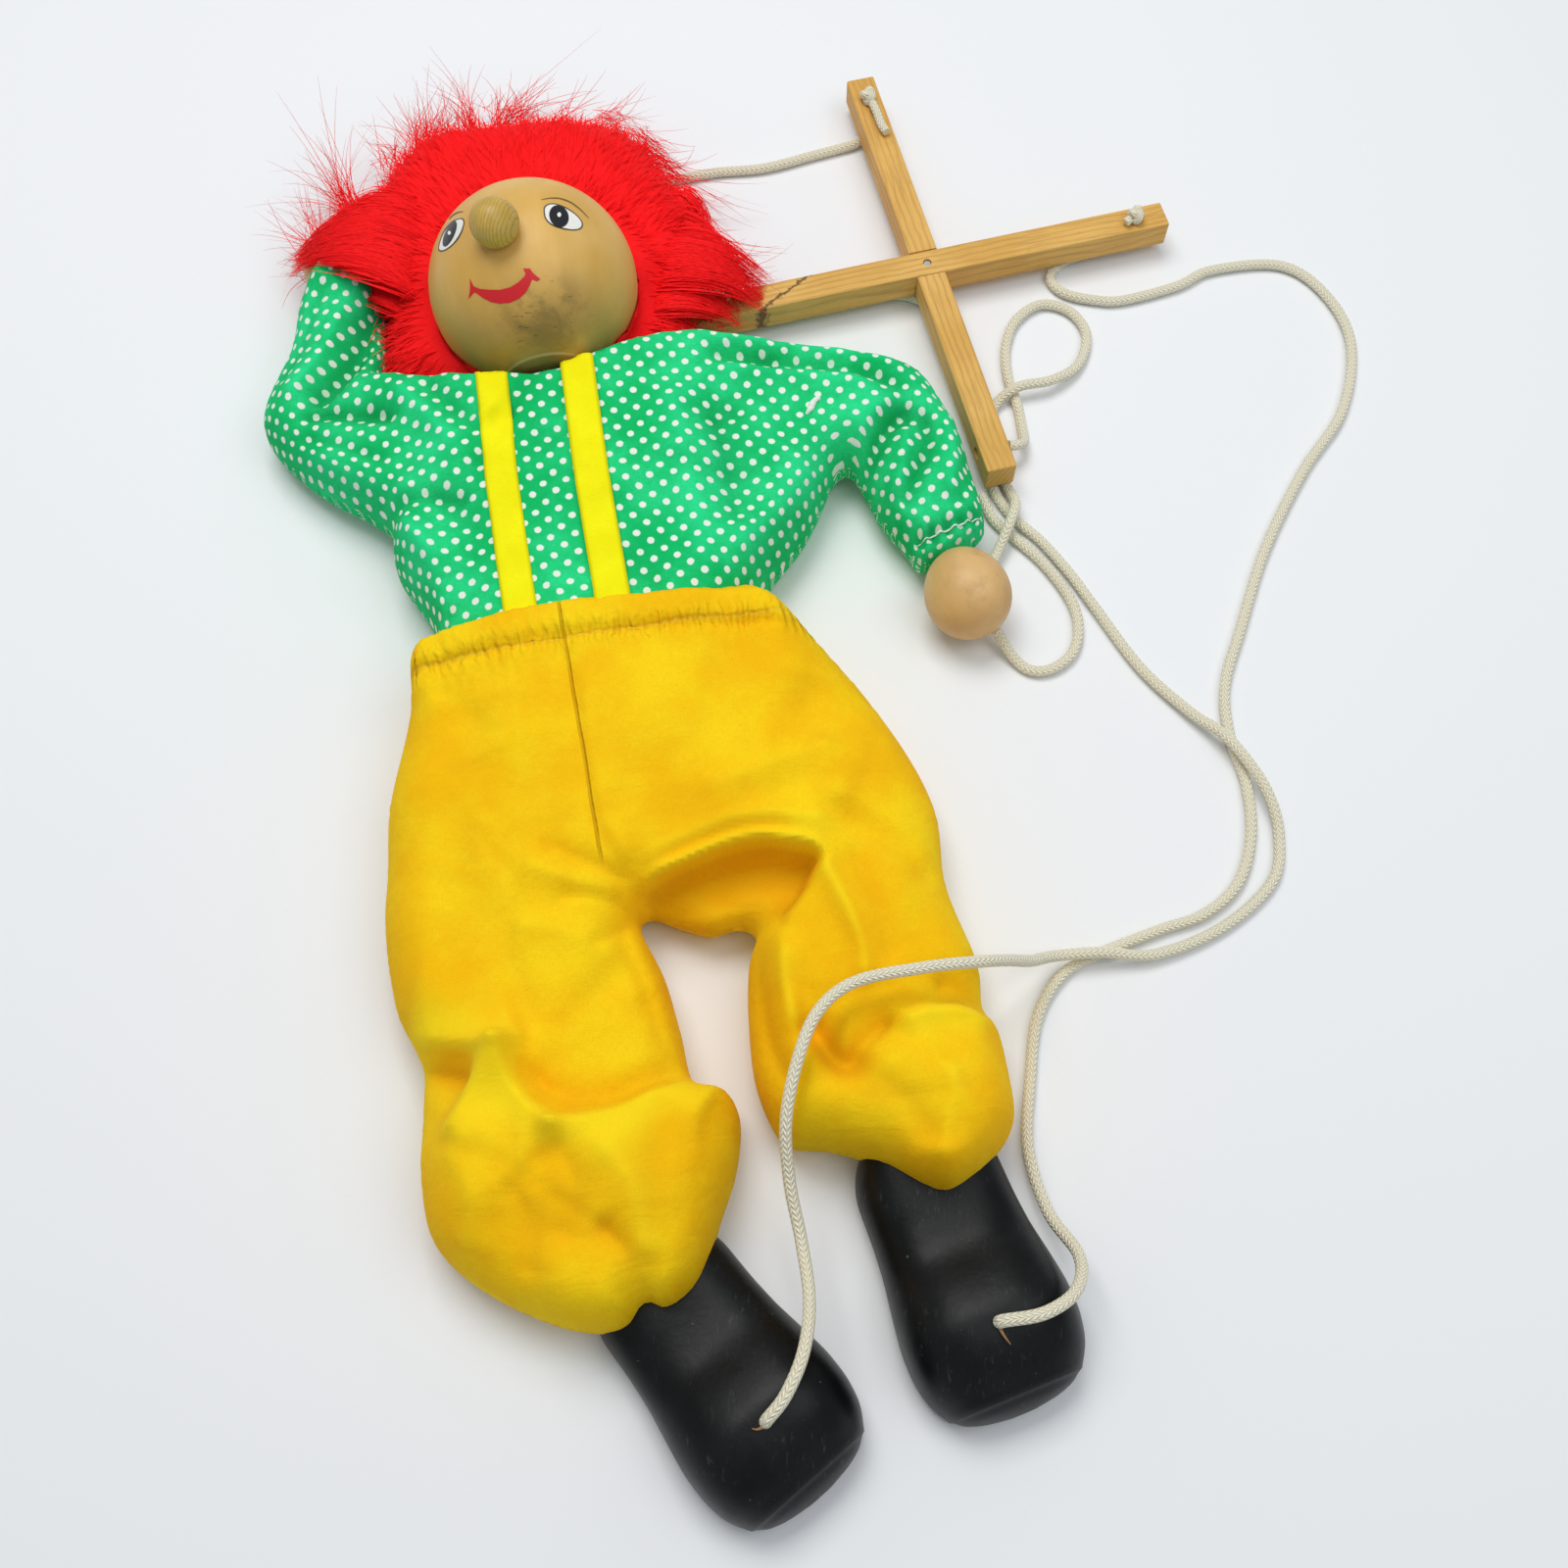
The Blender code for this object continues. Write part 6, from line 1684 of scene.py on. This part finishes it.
def splinters():
    """A raw sliver of wood at each shoe's string hole."""
    g = Graph("raw_splinter")
    material = g.finish(g.mix(g.noise(g.place(), 900.0), (0.42, 0.24, 0.10), (0.20, 0.10, 0.04)), 0.8)
    for side, points in SPLINTERS.items():
        name = side + "_splinter"
        path = smooth_curve(np.array(points) * MM, 0.5 * MM)
        radius = np.linspace(0.55, 0.12, len(path)) * MM
        settle(add_object(name, tube_mesh(name, path, radius, 8), material), "shoe_paint", side + "_foot")


def hand_material():
    g = Graph("hand_wood")
    wrist = Vector(JOINTS["right_wrist"]["pos_m"])
    grain = Vector((0.33, -0.94, 0.1)).normalized()
    colour, fibre = wood_base(g, wrist, grain, (0.76, 0.49, 0.21), (0.64, 0.38, 0.14), HAND_RINGS)
    worn = g.noise(g.place(), 120.0, 4.0, 0.6)
    colour = g.layers(colour, (worn, 0.5, 0.75, 0.4, (0.40, 0.24, 0.09)))
    return g.finish(colour, 0.42, g.bump(fibre, 0.12 * MM, 0.3), Specular_IOR_Level=0.4)


def hand(side, material):
    """A turned egg, its blunt end outwards."""
    def egg(point):
        wide = HAND_R * (1.0 + HAND_BLUNT * point.z)
        return Vector((point.x * wide, point.y * wide, point.z * HAND_LENGTH / 2)) * MM

    ahead = LEFT_HAND_AHEAD if side == "left" else limb_ahead(side + "_wrist")
    at = Vector(JOINTS[side + "_wrist"]["pos_m"]) + ahead * (HAND_LENGTH / 2 - WRIST_DEPTH) * MM
    name = side + "_hand_turned"
    mesh = turned_mesh(name, at, ahead, 1.0, HAND_MESH, egg)
    settle(add_object(name, mesh, material), "wood", side + "_hand", side + "_hand")


def bar_material(name, turn):
    """Pale straight-grained wood, its stripes along the bar, with a dark streak on the cross bar."""
    g = Graph(name + "_wood")
    along = g.along_axis(CROSS_AT, (math.cos(turn), math.sin(turn), 0.0))
    across = g.along_axis(CROSS_AT, (-math.sin(turn), math.cos(turn), 0.0))
    depth = g.along_axis(CROSS_AT, (0.0, 0.0, 1.0))
    grain = g.join(along, across, depth)
    wander = g.noise(grain, (22.0, 60.0, 60.0))
    fibre = g.noise(grain, (70.0, 1700.0, 1700.0), 4.0, 0.65)
    pores = g.noise(grain, (160.0, 3400.0, 3400.0), 2.0)
    cloud = g.noise(g.place(), 34.0)
    stripe_at = g.plus(g.plus(across, g.times(depth, 0.55)), g.times(wander, 0.006))
    colour = g.layers(
        (0.70, 0.39, 0.08),
        (cloud, 0.35, 0.68, 1.0, (0.80, 0.48, 0.125)),
        (g.wave(stripe_at, BAR_STRIPE), 0.0, 1.0, 0.40, (0.46, 0.235, 0.06)),
        (fibre, 0.46, 0.72, 0.45, (0.43, 0.22, 0.06)),
        (pores, 0.62, 0.74, 0.5, (0.26, 0.12, 0.03)),
    )
    if name == "cross_bar":
        slant = g.minus(g.minus(along, STREAK_AT), g.times(across, 1.9))
        ragged = g.sway(g.noise(g.place(), 420.0, 4.0), 0.008)
        streak = g.step(g.size(g.plus(slant, ragged)), 0.0005, 0.0020, 0.85, 0.0)
        colour = g.mix(streak, colour, (0.075, 0.032, 0.012))
    normal = g.bump(g.plus(fibre, g.times(pores, -0.4)), 0.16 * MM, 0.45)
    return g.finish(colour, 0.52, normal, Specular_IOR_Level=0.35)


def coat(name, material):
    """Gives a solid that shows as it is its material."""
    NODES[name].data.materials.clear()
    NODES[name].data.materials.append(material)


def bars():
    coat("main_bar", bar_material("main_bar", CROSS_TURN + math.pi / 2))
    coat("cross_bar", bar_material("cross_bar", CROSS_TURN))


def knot_path(middle):
    """A cord wound over itself on top of its hole: three lobes of a trefoil, pressed flat."""
    wide, deep, high = KNOT_LOBES
    path = []
    for step in range(KNOT_STEPS + 1):
        t = FULL_TURN * step / KNOT_STEPS
        x = math.sin(t) + 2 * math.sin(2 * t)
        y = math.cos(t) - 2 * math.cos(2 * t)
        z = -math.sin(3 * t)
        path.append((middle[0] + wide * x, middle[1] + deep * y, KNOT_RISE + high * z))
    return path


def knots(material):
    """Each knot, wound, and the tail that its cord ends in."""
    turn = Matrix.Translation((CROSS_AT.x, CROSS_AT.y, BAR_TOP)) @ Matrix.Rotation(CROSS_TURN, 4, "Z")
    for knot, (middle, tail) in KNOTS.items():
        wound, end = (np.array([turn @ (Vector(point) * MM) for point in points])
                      for points in (knot_path(middle), tail))
        end = smooth_curve(end, 0.7 * MM)
        for name, path, radius in ((knot + "_wound", wound, KNOT_CORD_R), (knot + "_tail", end, TAIL_CORD_R)):
            item = add_object(name, tube_mesh(name, path, radius * MM, KNOT_SIDES), material)
            settle(item, "cord", "control", knot)


def plain_nodes():
    """Materials of the pieces that the clothes hide, and of the cross's pin."""
    g = Graph("plain_wood")
    grain = Vector((-0.19, 0.98, 0.0)).normalized()
    colour, fibre = wood_base(g, HEAD_AT, grain, (0.55, 0.37, 0.19), (0.45, 0.28, 0.12), WOOD_RINGS)
    wood = g.finish(colour, 0.6, g.bump(fibre, 0.12 * MM, 0.3))
    g = Graph("pin_steel")
    brushed = g.noise(g.place(), (3000.0, 3000.0, 200.0), 2.0)
    steel = g.finish(g.mix(brushed, (0.45, 0.45, 0.46), (0.60, 0.60, 0.61)), 0.35, None, Metallic=1.0)
    g = Graph("limb_cord")
    twist = g.noise(g.place(), 1500.0, 2.0)
    cord = g.finish(g.mix(twist, (0.62, 0.55, 0.42), (0.80, 0.74, 0.60)), 0.8, g.bump(twist, 0.2 * MM, 0.4))
    coat("torso_block", wood)
    coat("neck_peg", wood)
    coat("lap_pin", steel)
    for name in NODES:
        if name.endswith("_cord"):
            coat(name, cord)


def main():
    camera()
    light()
    floor()
    cord = cord_material()
    strings(cord)
    trousers()
    shirt_form = shirt()
    suspenders(shirt_form)
    shirt_threads(shirt_form)
    head()
    wig()
    paint = shoe_material()
    wood = hand_material()
    for side in ("left", "right"):
        shoe(side, paint)
        hand(side, wood)
    splinters()
    bars()
    knots(cord)
    plain_nodes()


main()
